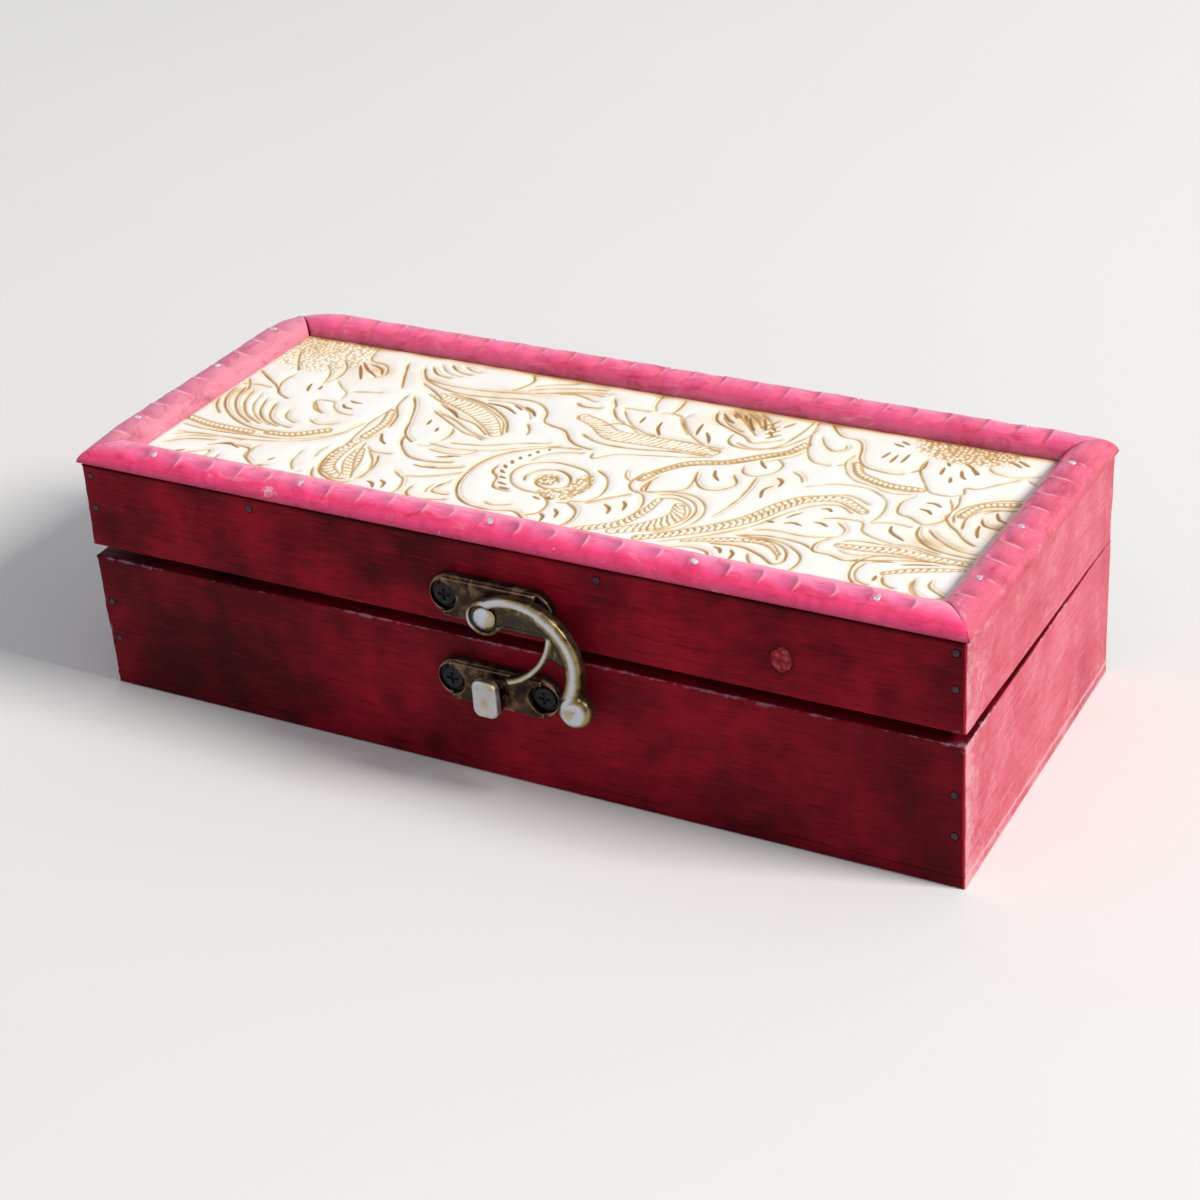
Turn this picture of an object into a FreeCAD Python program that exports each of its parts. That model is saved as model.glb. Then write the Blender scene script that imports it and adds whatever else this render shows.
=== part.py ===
import FreeCAD, Part
import math
import os

os.makedirs("parts", exist_ok=True)

# Outside of the box, with the lid shut
BOX_LENGTH = 205.0
BOX_DEPTH = 86.0
BASE_HEIGHT = 33.0
LID_HEIGHT = 19.6
BOARD_THICK = 5.0
BOTTOM_THICK = 2.5
LINING_THICK = 1.0
TOP_PANEL_THICK = 4.0
SHEET_THICK = 1.2
EDGE_ROUND = 0.7

# The seam, and how far the lid stands ajar at rest
SEAM_GAP = 0.15
LID_AJAR_DEG = 1.75

# Carved half-round moulding round the lid
MOULD_WIDTH = 9.4
MOULD_HEIGHT = 5.0
MOULD_OVERHANG = 0.6
MOULD_SHOULDER = 1.0
SCALLOP_PITCH = 7.6
SCALLOP_RADIUS = 6.5
SCALLOP_DEPTH = 0.75
SCALLOP_MARGIN = 0.3

# Headed brads in the corners and the bottom, and pins in the moulding
BRAD_HEAD_RADIUS = 0.75
BRAD_HEAD_THICK = 0.5
BRAD_SHANK_RADIUS = 0.45
BRAD_POINT_RADIUS = 0.1
BRAD_LENGTH = 12.0
BRAD_INSET = 2.3
BASE_BRAD_RISES = (9.5, 19.0)
LID_BRAD_RISES = (9.4, 17.2)
PANEL_BRAD_DROP = 2.6
PANEL_BRAD_SHARES = (-0.284, 0.122)
BOTTOM_BRAD_INSET = 34.0
PIN_HEAD_RADIUS = 0.95
PIN_PROUD = 0.1
PIN_LENGTH = 11.0
LONG_PIN_INSET = 2.4
SHORT_PIN_INSET = 4.0

# Clasp plates
CLASP_X = 1.1
PLATE_LENGTH = 28.8
PLATE_HEIGHT = 9.7
PLATE_THICK = 2.1
PLATE_BLOCK = 2.9
PLATE_BLOCK_INSET = 0.4
PLATE_ROUND = 0.4
PLATE_SCREW_SPAN = 21.8
RECESS_RADIUS = 3.3
RECESS_FLOOR = 0.8
UPPER_PLATE_RISE = 7.6
LOWER_PLATE_DROP = 0.75

# Rivet and swing hook, measured from the pivot
PIVOT_DROP = 1.75
HOOK_THICK = 2.2
HOOK_GAP = 0.12
HOOK_ROUND = 0.5
HOOK_POCKET = 0.7
HOOK_RIM = 0.9
RING_RADIUS = 4.1
RIVET_RADIUS = 1.5
RIVET_HEAD_RADIUS = 2.8
RIVET_HEAD_RISE = 1.6
RIVET_TAIL_RADIUS = 2.2
RIVET_TAIL_THICK = 0.6
RUNNING_GAP = 0.06
ARM_RADIUS = 14.8
ARM_WIDTH = 3.7
ARM_CENTRE_X = ARM_RADIUS * 0.486
ARM_CENTRE_Z = ARM_RADIUS * -0.608
BALL_X = ARM_RADIUS * 1.345
BALL_Z = ARM_RADIUS * -1.176
CLAW_RADIUS = ARM_RADIUS * 0.946
CLAW_WIDTH = 1.6
CLAW_TIP_DEG = 73.0
CROTCH_DEG = 24.5
CROTCH_ROUND = 1.0
WEB_DROP = 2.2
BALL_RADIUS = 3.7
BALL_THICK = 3.7
BALL_BACK = 2.5

# Catch on the base, which the claw slides into
HEAD_WIDTH = 5.8
HEAD_HEIGHT = 8.6
HEAD_THICK = 2.1
HEAD_CORNER = 1.8
HEAD_ROUND = 0.7
HEAD_LIFT = 0.4
POST_INSET = 0.6
SLOT_CLEARANCE = 0.3
LIP_THICK = 0.65
CATCH_WALL = 1.4
HOOK_CLEARANCE = 0.25

# Clasp screws, and the wood left beyond the tip of every screw
SCREW_HEAD_RADIUS = 2.7
SCREW_HEAD_HEIGHT = 1.1
SCREW_SHANK_RADIUS = 1.1
SCREW_STOP = 0.8
CROSS_WIDTH = 0.6
CROSS_LENGTH = 2.8
CROSS_DEPTH = 0.6

# Butt hinges on the back
HINGE_INSET = 40.5
HINGE_WIDTH = 20.0
LEAF_HEIGHT = 11.0
LEAF_THICK = 0.8
LEAF_CORNER = 1.2
KNUCKLE_RADIUS = 1.5
KNUCKLE_COUNT = 5
KNUCKLE_GAP = 0.2
KNUCKLE_CLEARANCE = 0.3
HINGE_PIN_RADIUS = 0.75
HINGE_PIN_PROUD = 0.3
HINGE_SCREW_SPAN = 12.0
HINGE_SCREW_RISE = 6.8
HINGE_SCREW_HEAD = 1.6
HINGE_SCREW_SHANK = 0.8
HINGE_SLOT_WIDTH = 0.4
HINGE_SLOT_DEPTH = 0.35

# Room that a cutting shape needs past the surface that it cuts
PAST = 1.0

HALF_X = BOX_LENGTH / 2
HALF_Y = BOX_DEPTH / 2
FRONT = -HALF_Y
BACK = HALF_Y
INSIDE_X = HALF_X - BOARD_THICK
INSIDE_Y = HALF_Y - BOARD_THICK
LID_BOTTOM = BASE_HEIGHT + SEAM_GAP
LID_TOP = LID_BOTTOM + LID_HEIGHT
HINGE_Y = BACK + KNUCKLE_RADIUS
HINGE_Z = BASE_HEIGHT + SEAM_GAP / 2
INTO_FRONT = FreeCAD.Vector(0, 1, 0)
INTO_BACK = FreeCAD.Vector(0, -1, 0)
ALONG = FreeCAD.Vector(1, 0, 0)
UP = FreeCAD.Vector(0, 0, 1)


def vec(x, y, z):
    return FreeCAD.Vector(x, y, z)


def block(x0, x1, y0, y1, z0, z1):
    return Part.makeBox(x1 - x0, y1 - y0, z1 - z0, vec(x0, y0, z0))


def near(a, b):
    return abs(a - b) < 0.001


def rounded(shape, radius, chooser):
    edges = [edge for edge in shape.Edges if chooser(edge.CenterOfMass)]
    return shape.makeFillet(radius, edges)


def group(solids):
    return Part.makeCompound(solids)


def save(name, shape):
    shape.exportStep("parts/" + name + ".step")


# Lid pieces are modelled shut and saved standing ajar on the hinge line
def save_lid(name, shape):
    turned = shape.copy()
    turned.rotate(vec(0, HINGE_Y, HINGE_Z), -ALONG, LID_AJAR_DEG)
    save(name, turned)


# Brads: flat head, round shank and short point
def brad(head_at, inward, head_radius, length):
    point = BRAD_SHANK_RADIUS * 2
    head = Part.makeCylinder(head_radius, BRAD_HEAD_THICK, head_at, inward)
    shank = Part.makeCylinder(BRAD_SHANK_RADIUS, length - point, head_at, inward)
    tip_at = head_at + inward * (length - point)
    tip = Part.makeCone(BRAD_SHANK_RADIUS, BRAD_POINT_RADIUS, point, tip_at, inward)
    return head.fuse([shank, tip]).removeSplitter()


def corner_brads(bottom, rises):
    brads = []
    for x in (BRAD_INSET - HALF_X, HALF_X - BRAD_INSET):
        for rise in rises:
            brads.append(brad(vec(x, FRONT, bottom + rise), INTO_FRONT, BRAD_HEAD_RADIUS, BRAD_LENGTH))
            brads.append(brad(vec(x, BACK, bottom + rise), INTO_BACK, BRAD_HEAD_RADIUS, BRAD_LENGTH))
    return brads


# Boards of a tray: front and back run the full length, and the sides are butted between them
def long_board(y0, y1, outer, bottom, top):
    board = block(-HALF_X, HALF_X, y0, y1, bottom, top)
    return rounded(board, EDGE_ROUND, lambda c: near(c.y, outer) and not near(c.z, bottom))


def side_board(x0, x1, outer, bottom, top):
    board = block(x0, x1, -INSIDE_Y, INSIDE_Y, bottom, top)
    return rounded(board, EDGE_ROUND, lambda c: near(c.x, outer) and near(c.z, top))


def tray_boards(bottom, top):
    return {
        "front": long_board(FRONT, -INSIDE_Y, FRONT, bottom, top),
        "back": long_board(INSIDE_Y, BACK, BACK, bottom, top),
        "left": side_board(-HALF_X, -INSIDE_X, -HALF_X, bottom, top),
        "right": side_board(INSIDE_X, HALF_X, HALF_X, bottom, top),
    }


# Slugs and prisms that stand off the front face, from one distance out to another
def disc(x, z, radius, out_back, out_front):
    return Part.makeCylinder(radius, out_front - out_back, vec(x, FRONT - out_back, z), INTO_BACK)


def prism(points, out_back, out_front):
    corners = [vec(x, FRONT - out_back, z) for x, z in points]
    face = Part.Face(Part.makePolygon(corners + corners[:1]))
    return face.extrude(vec(0, out_back - out_front, 0))


# Clasp screws: rounded cross-head in the plate's recess, shank into the board
def clasp_screw(x, z):
    front = RECESS_FLOOR + SCREW_HEAD_HEIGHT
    head = disc(x, z, SCREW_HEAD_RADIUS, RECESS_FLOOR, front)
    head = rounded(head, SCREW_HEAD_HEIGHT * 0.6, lambda c: near(c.y, FRONT - front))
    shank = disc(x, z, SCREW_SHANK_RADIUS, SCREW_STOP - BOARD_THICK, front - CROSS_DEPTH)
    screw = head.fuse(shank).removeSplitter()
    long = CROSS_LENGTH / 2
    wide = CROSS_WIDTH / 2
    y0 = FRONT - front - PAST
    y1 = FRONT - front + CROSS_DEPTH
    across = block(x - long, x + long, y0, y1, z - wide, z + wide)
    upright = block(x - wide, x + wide, y0, y1, z - long, z + long)
    return screw.cut(across.fuse(upright))


# Clasp plate: rimmed lobe round each screw and a raised block between the lobes
def clasp_plate(x, z, block_out, screws):
    radius = PLATE_HEIGHT / 2
    lobe = PLATE_LENGTH / 2 - radius
    bar = block(x - lobe, x + lobe, FRONT - PLATE_THICK, FRONT, z - radius, z + radius)
    lobes = [disc(x + side * lobe, z, radius, 0, PLATE_THICK) for side in (-1, 1)]
    plate = bar.fuse(lobes).removeSplitter()
    plate = rounded(plate, PLATE_ROUND, lambda c: near(c.y, FRONT - PLATE_THICK))
    half = PLATE_SCREW_SPAN / 2
    high = radius - PLATE_BLOCK_INSET
    raised = block(x - half, x + half, FRONT - block_out, FRONT, z - high, z + high)
    plate = plate.fuse(raised).removeSplitter()
    recesses = [disc(x + side * half, z, RECESS_RADIUS, RECESS_FLOOR, block_out + PAST) for side in (-1, 1)]
    return plate.cut(group(recesses)).cut(group(screws))


UPPER_Z = LID_BOTTOM + UPPER_PLATE_RISE
PIVOT_X = CLASP_X
PIVOT_Z = UPPER_Z - PIVOT_DROP
CLAW_TOP = PIVOT_Z - CLAW_RADIUS
CLAW_BOTTOM = CLAW_TOP - CLAW_WIDTH
LOWER_Z = (CLAW_TOP + CLAW_BOTTOM) / 2 - LOWER_PLATE_DROP
PLATE_SCREW_X = (CLASP_X - PLATE_SCREW_SPAN / 2, CLASP_X + PLATE_SCREW_SPAN / 2)
HOOK_BACK = PLATE_BLOCK + HOOK_GAP
HOOK_FRONT = HOOK_BACK + HOOK_THICK
catch_screws = [clasp_screw(x, LOWER_Z) for x in PLATE_SCREW_X]
hook_screws = [clasp_screw(x, UPPER_Z) for x in PLATE_SCREW_X]


# Hinge screws: countersunk in the leaf, shank into the back board, slotted head
def hinge_screw_blank(x, z):
    head_at = vec(x, BACK + LEAF_THICK, z)
    sink = HINGE_SCREW_HEAD - HINGE_SCREW_SHANK
    head = Part.makeCone(HINGE_SCREW_HEAD, HINGE_SCREW_SHANK, sink, head_at, INTO_BACK)
    length = LEAF_THICK + BOARD_THICK - SCREW_STOP
    return head.fuse(Part.makeCylinder(HINGE_SCREW_SHANK, length, head_at, INTO_BACK)).removeSplitter()


def hinge_screw(x, z):
    half = HINGE_SLOT_WIDTH / 2
    face = BACK + LEAF_THICK
    reach = HINGE_SCREW_HEAD + PAST
    slot = block(x - reach, x + reach, face - HINGE_SLOT_DEPTH, face + PAST, z - half, z + half)
    return hinge_screw_blank(x, z).cut(slot)


# Hinge leaf: flat plate with every other knuckle, up for the lid and down for the base
def hinge_leaf(x, side, bore):
    left = x - HINGE_WIDTH / 2
    pitch = HINGE_WIDTH / KNUCKLE_COUNT
    far = HINGE_Z + side * LEAF_HEIGHT
    clear = HINGE_Z + side * (KNUCKLE_RADIUS + KNUCKLE_CLEARANCE)
    leaf = block(left, left + HINGE_WIDTH, BACK, BACK + LEAF_THICK, min(far, clear), max(far, clear))
    leaf = rounded(leaf, LEAF_CORNER, lambda c: near(c.z, far) and near(abs(c.x - x), HINGE_WIDTH / 2))
    pieces = []
    for index in range(0 if side < 0 else 1, KNUCKLE_COUNT, 2):
        x0 = left + index * pitch + KNUCKLE_GAP / 2
        x1 = x0 + pitch - KNUCKLE_GAP
        pieces.append(Part.makeCylinder(KNUCKLE_RADIUS, x1 - x0, vec(x0, HINGE_Y, HINGE_Z), ALONG))
        pieces.append(block(x0, x1, BACK, BACK + LEAF_THICK, min(HINGE_Z, clear), max(HINGE_Z, clear)))
    leaf = leaf.fuse(pieces).removeSplitter()
    bore_at = vec(left - PAST, HINGE_Y, HINGE_Z)
    return leaf.cut(Part.makeCylinder(bore, HINGE_WIDTH + 2 * PAST, bore_at, ALONG))


def hinge_screw_spots(side):
    spots = []
    for x in HINGE_X.values():
        for step in (-HINGE_SCREW_SPAN / 2, HINGE_SCREW_SPAN / 2):
            spots.append((x + step, HINGE_Z + side * HINGE_SCREW_RISE))
    return spots


HINGE_X = {"left": HINGE_INSET - HALF_X, "right": HALF_X - HINGE_INSET}
base_hinge_spots = hinge_screw_spots(-1)
lid_hinge_spots = hinge_screw_spots(1)
base_hinge_holes = group([hinge_screw_blank(x, z) for x, z in base_hinge_spots])
lid_hinge_holes = group([hinge_screw_blank(x, z) for x, z in lid_hinge_spots])

# Base tray: boards on a thin bottom panel, nailed from the ends and from below
bottom_brads = []
board_middle = BOARD_THICK / 2
for y in (FRONT + board_middle, BACK - board_middle):
    for x in (BOTTOM_BRAD_INSET - HALF_X, 0, HALF_X - BOTTOM_BRAD_INSET):
        bottom_brads.append(brad(vec(x, y, 0), UP, BRAD_HEAD_RADIUS, BRAD_LENGTH))
for x in (board_middle - HALF_X, HALF_X - board_middle):
    bottom_brads.append(brad(vec(x, 0, 0), UP, BRAD_HEAD_RADIUS, BRAD_LENGTH))
base_brads = corner_brads(BOTTOM_THICK, BASE_BRAD_RISES)
base_holes = group(base_brads + bottom_brads + catch_screws + [base_hinge_holes])
base_boards = tray_boards(BOTTOM_THICK, BASE_HEIGHT)
for side in base_boards:
    save("base_" + side + "_board", base_boards[side].cut(base_holes))
save("base_corner_brads", group(base_brads))
save("base_bottom_brads", group(bottom_brads))

bottom_panel = block(-HALF_X, HALF_X, FRONT, BACK, 0, BOTTOM_THICK)
bottom_panel = rounded(bottom_panel, EDGE_ROUND, lambda c: near(c.z, BOTTOM_THICK / 2))
save("base_bottom_panel", bottom_panel.cut(base_holes))
lining_top = BOTTOM_THICK + LINING_THICK
save("base_floor_lining", block(-INSIDE_X, INSIDE_X, -INSIDE_Y, INSIDE_Y, BOTTOM_THICK, lining_top))

# Catch: headed post on the lower plate, slotted from the right for the claw.
# The claw enters the slot when the lid is shut and passes over the slot's lip when it stands ajar.
lower_block = HOOK_BACK - HOOK_CLEARANCE
slot_top = CLAW_TOP + SLOT_CLEARANCE
slot_bottom = CLAW_BOTTOM - SLOT_CLEARANCE
sway = (HINGE_Z - CLAW_BOTTOM) * math.sin(math.radians(LID_AJAR_DEG))
head_back = HOOK_FRONT + sway + HOOK_CLEARANCE
head_front = head_back + HEAD_THICK
head_z = LOWER_Z + HEAD_LIFT
head_left = CLASP_X - HEAD_WIDTH / 2
head_right = CLASP_X + HEAD_WIDTH / 2
head_bottom = head_z - HEAD_HEIGHT / 2
head_top = head_z + HEAD_HEIGHT / 2
head_middle = FRONT - (head_back + head_front) / 2


def head_corner(c):
    return near(c.y, head_middle) and not near(c.x, CLASP_X) and not near(c.z, head_z)


head = block(head_left, head_right, FRONT - head_front, FRONT - head_back, head_bottom, head_top)
head = rounded(head, HEAD_CORNER, head_corner)
head = rounded(head, HEAD_ROUND, lambda c: near(c.y, FRONT - head_front))
post_left = head_left + POST_INSET
post_right = head_right - POST_INSET
post_bottom = head_bottom + POST_INSET
neck = FRONT - head_back
root = FRONT - lower_block
lip_top = slot_top + LIP_THICK
post = [
    block(post_left, post_right, neck, root, post_bottom, slot_bottom),
    block(post_left, post_left + CATCH_WALL, neck, root, post_bottom, lip_top),
    block(post_left, post_right, neck, root, slot_top, lip_top),
]
catch_plate = clasp_plate(CLASP_X, LOWER_Z, lower_block, catch_screws)
save("clasp_catch_plate", catch_plate.fuse(post + [head]).removeSplitter())
save("clasp_catch_screws", group(catch_screws))

# Moulding: half-round section run along each side, mitred, then scalloped with a gouge
mould_outer_x = HALF_X + MOULD_OVERHANG
mould_outer_y = HALF_Y + MOULD_OVERHANG
shoulder = LID_TOP + MOULD_SHOULDER
crown = LID_TOP + MOULD_HEIGHT
crown_rise = MOULD_HEIGHT - MOULD_SHOULDER
crown_radius = ((MOULD_WIDTH / 2) ** 2 + crown_rise ** 2) / (2 * crown_rise)


def scallop_count(half_length):
    return round(2 * (half_length - MOULD_WIDTH) / SCALLOP_PITCH - SCALLOP_MARGIN)


def moulding(half_length, half_width):
    outer = -half_width
    inner = outer + MOULD_WIDTH
    middle = (outer + inner) / 2
    section = [
        Part.LineSegment(vec(0, inner, shoulder), vec(0, inner, LID_TOP)).toShape(),
        Part.LineSegment(vec(0, inner, LID_TOP), vec(0, outer, LID_TOP)).toShape(),
        Part.LineSegment(vec(0, outer, LID_TOP), vec(0, outer, shoulder)).toShape(),
        Part.Arc(vec(0, outer, shoulder), vec(0, middle, crown), vec(0, inner, shoulder)).toShape(),
    ]
    face = Part.Face(Part.Wire(section))
    face.translate(vec(-half_length, 0, 0))
    bar = face.extrude(ALONG * (2 * half_length))
    short = half_length - MOULD_WIDTH
    floor = LID_TOP - PAST
    outline = [
        vec(-half_length, outer, floor),
        vec(half_length, outer, floor),
        vec(short, inner, floor),
        vec(-short, inner, floor),
    ]
    mitred = Part.Face(Part.makePolygon(outline + outline[:1])).extrude(UP * (MOULD_HEIGHT + 2 * PAST))
    count = scallop_count(half_length)
    gouge_z = crown - SCALLOP_DEPTH + SCALLOP_RADIUS
    gouges = []
    for index in range(count):
        x = (index - (count - 1) / 2) * SCALLOP_PITCH
        gouges.append(Part.makeSphere(SCALLOP_RADIUS, vec(x, middle, gouge_z)))
    return bar.common(mitred).cut(group(gouges))


# Pins stand on the ridges between gouge cuts, spread by hand along each side
def ridge_places(half_length, shares):
    ridges = scallop_count(half_length) - 2
    return [(round((0.5 + share) * ridges) - ridges / 2) * SCALLOP_PITCH for share in shares]


def moulding_pins(half_length, half_width, inset, shares):
    off_crown = inset - (MOULD_WIDTH / 2 - MOULD_OVERHANG)
    surface = crown - crown_radius + math.sqrt(crown_radius ** 2 - off_crown ** 2)
    y = MOULD_OVERHANG + inset - half_width
    places = ridge_places(half_length, shares)
    return [brad(vec(x, y, surface + PIN_PROUD), -UP, PIN_HEAD_RADIUS, PIN_LENGTH) for x in places]


def quarter_turned(shape, quarters):
    turned = shape.copy()
    turned.rotate(vec(0, 0, 0), UP, 90 * quarters)
    return turned


long_mould = moulding(mould_outer_x, mould_outer_y)
short_mould = moulding(mould_outer_y, mould_outer_x)
long_pins = moulding_pins(mould_outer_x, mould_outer_y, LONG_PIN_INSET, (-0.5, -0.27, 0.0, 0.27, 0.5))
short_pins = moulding_pins(mould_outer_y, mould_outer_x, SHORT_PIN_INSET, (-0.5, -0.07, 0.5))
mouldings = {
    "moulding_front": quarter_turned(long_mould, 0),
    "moulding_right": quarter_turned(short_mould, 1),
    "moulding_back": quarter_turned(long_mould, 2),
    "moulding_left": quarter_turned(short_mould, 3),
}
pins = [quarter_turned(pin, quarters) for quarters in (0, 2) for pin in long_pins]
pins += [quarter_turned(pin, quarters) for quarters in (1, 3) for pin in short_pins]
for name in mouldings:
    save_lid(name, mouldings[name].cut(group(pins)))
save_lid("moulding_pins", group(pins))

# Lid tray: boards round a top panel, with the tooled sheet on it inside the moulding
lid_brads = corner_brads(LID_BOTTOM, LID_BRAD_RISES)
panel_brads = []
panel_brad_z = LID_TOP - PANEL_BRAD_DROP
for share in PANEL_BRAD_SHARES:
    x = share * BOX_LENGTH
    panel_brads.append(brad(vec(x, FRONT, panel_brad_z), INTO_FRONT, BRAD_HEAD_RADIUS, BRAD_LENGTH))
    panel_brads.append(brad(vec(-x, BACK, panel_brad_z), INTO_BACK, BRAD_HEAD_RADIUS, BRAD_LENGTH))
lid_holes = group(lid_brads + panel_brads + pins + hook_screws + [lid_hinge_holes])
lid_boards = tray_boards(LID_BOTTOM, LID_TOP)
for side in lid_boards:
    save_lid("lid_" + side + "_board", lid_boards[side].cut(lid_holes))
save_lid("lid_corner_brads", group(lid_brads))
save_lid("lid_panel_brads", group(panel_brads))
panel_bottom = LID_TOP - TOP_PANEL_THICK
top_panel = block(-INSIDE_X, INSIDE_X, -INSIDE_Y, INSIDE_Y, panel_bottom, LID_TOP)
save_lid("lid_top_panel", top_panel.cut(group(panel_brads)))
sheet_x = mould_outer_x - MOULD_WIDTH
sheet_y = mould_outer_y - MOULD_WIDTH
save_lid("lid_embossed_sheet", block(-sheet_x, sheet_x, -sheet_y, sheet_y, LID_TOP, LID_TOP + SHEET_THICK))

# Rivet: tail let into the back of the upper plate, domed head over the hook's eye
pocket_floor = HOOK_FRONT - HOOK_POCKET
dome_foot = pocket_floor + HOOK_GAP
dome_top = dome_foot + RIVET_HEAD_RISE
dome_radius = (RIVET_HEAD_RADIUS ** 2 + RIVET_HEAD_RISE ** 2) / (2 * RIVET_HEAD_RISE)
dome = Part.makeSphere(dome_radius, vec(PIVOT_X, FRONT - dome_top + dome_radius, PIVOT_Z))
dome = dome.common(disc(PIVOT_X, PIVOT_Z, RIVET_HEAD_RADIUS + PAST, dome_foot, dome_top + PAST))
tail = disc(PIVOT_X, PIVOT_Z, RIVET_TAIL_RADIUS, 0, RIVET_TAIL_THICK)
shank = disc(PIVOT_X, PIVOT_Z, RIVET_RADIUS, 0, dome_foot + RIVET_HEAD_RISE / 2)
save_lid("clasp_pivot_rivet", shank.fuse([tail, dome]).removeSplitter())
hook_plate = clasp_plate(CLASP_X, UPPER_Z, PLATE_BLOCK, hook_screws)
save_lid("clasp_hook_plate", hook_plate.cut(tail.fuse(shank)))
save_lid("clasp_hook_screws", group(hook_screws))


# Swing hook: eye, crescent arm ending in a ball, and a claw that curls about the pivot
def polar(radius, degrees):
    angle = math.radians(degrees)
    return (radius * math.cos(angle), radius * math.sin(angle))


def hook_prism(points, out_back, out_front):
    return prism([(PIVOT_X + x, PIVOT_Z + z) for x, z in points], out_back, out_front)


def hook_part(points):
    return hook_prism(points, HOOK_BACK - PAST, HOOK_FRONT + PAST)


arm_x = PIVOT_X + ARM_CENTRE_X
arm_z = PIVOT_Z + ARM_CENTRE_Z
far = ARM_RADIUS * 2
eye = disc(PIVOT_X, PIVOT_Z, RING_RADIUS, HOOK_BACK, HOOK_FRONT)
crescent = disc(arm_x, arm_z, ARM_RADIUS, HOOK_BACK, HOOK_FRONT)
hollow = disc(arm_x, arm_z, ARM_RADIUS - ARM_WIDTH, HOOK_BACK - PAST, HOOK_FRONT + PAST)
arm_sector = [(0, 0), (0, far), (far, far), (far, BALL_Z), (BALL_X, BALL_Z), (ARM_CENTRE_X, ARM_CENTRE_Z)]
arm = crescent.cut(hollow).common(hook_part(arm_sector))
web_end = math.sqrt(CLAW_RADIUS ** 2 - WEB_DROP ** 2)
crotch = [polar(CLAW_RADIUS + CLAW_WIDTH / 2, -CROTCH_DEG), polar(far, -CROTCH_DEG)]
web = crescent.common(hook_part([(0, -WEB_DROP), (web_end, -WEB_DROP)] + crotch + [(far, far), (0, far)]))
claw = disc(PIVOT_X, PIVOT_Z, CLAW_RADIUS + CLAW_WIDTH, HOOK_BACK, HOOK_FRONT)
claw = claw.cut(disc(PIVOT_X, PIVOT_Z, CLAW_RADIUS, HOOK_BACK - PAST, HOOK_FRONT + PAST))
claw = claw.common(hook_part([(0, 0), polar(far, -CLAW_TIP_DEG), (far, -far), (far, 0)]))
hook = eye.fuse([arm, web, claw]).removeSplitter()
hook_middle = FRONT - (HOOK_BACK + HOOK_FRONT) / 2


def crotch_corner(c):
    bearing = math.degrees(math.atan2(c.z - PIVOT_Z, c.x - PIVOT_X))
    return near(c.y, hook_middle) and near(bearing, -CROTCH_DEG)


hook = rounded(hook, CROTCH_ROUND, crotch_corner)
hook = rounded(hook, HOOK_ROUND, lambda c: near(c.y, FRONT - HOOK_FRONT))
ball_front = BALL_BACK + BALL_THICK
ball = disc(PIVOT_X + BALL_X, PIVOT_Z + BALL_Z, BALL_RADIUS, BALL_BACK, ball_front)
ball = rounded(ball, BALL_THICK * 0.4, lambda c: near(c.y, FRONT - ball_front))
ball = rounded(ball, BALL_THICK * 0.25, lambda c: near(c.y, FRONT - BALL_BACK))
hook = hook.fuse(ball).removeSplitter()

# Sunk field round the rivet and along the web, inside the hook's raised rim
field_base = HOOK_RIM - WEB_DROP
field_end = CLAW_RADIUS - 2 * HOOK_RIM
sunk = disc(arm_x, arm_z, ARM_RADIUS - 2 * HOOK_RIM, pocket_floor, HOOK_FRONT + PAST)
corners = [(0, field_base), (field_end, field_base), (field_end, far), (0, far)]
sunk = sunk.common(hook_prism(corners, pocket_floor, HOOK_FRONT + PAST))
sunk = sunk.fuse(disc(PIVOT_X, PIVOT_Z, RING_RADIUS - HOOK_RIM, pocket_floor, HOOK_FRONT + PAST))
bore = disc(PIVOT_X, PIVOT_Z, RIVET_RADIUS + RUNNING_GAP, HOOK_BACK - PAST, HOOK_FRONT + PAST)
save_lid("clasp_hook", hook.cut(sunk).cut(bore))

# Hinges: the pins are tight in the base leaves, and the lid leaves turn on them
for side in HINGE_X:
    x = HINGE_X[side]
    save("hinge_" + side + "_base_leaf", hinge_leaf(x, -1, HINGE_PIN_RADIUS).cut(base_hinge_holes))
    lid_leaf = hinge_leaf(x, 1, HINGE_PIN_RADIUS + RUNNING_GAP)
    save_lid("hinge_" + side + "_lid_leaf", lid_leaf.cut(lid_hinge_holes))
    pin_at = vec(x - HINGE_WIDTH / 2 - HINGE_PIN_PROUD, HINGE_Y, HINGE_Z)
    pin_length = HINGE_WIDTH + 2 * HINGE_PIN_PROUD
    save("hinge_" + side + "_pin", Part.makeCylinder(HINGE_PIN_RADIUS, pin_length, pin_at, ALONG))
save("hinge_base_screws", group([hinge_screw(x, z) for x, z in base_hinge_spots]))
save_lid("hinge_lid_screws", group([hinge_screw(x, z) for x, z in lid_hinge_spots]))
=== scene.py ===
"""Looks of the pen box: red-stained boards, carved moulding, tooled leather panel and swing-hook clasp."""
import math

import bpy
import numpy as np
from mathutils import Matrix, Vector


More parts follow.
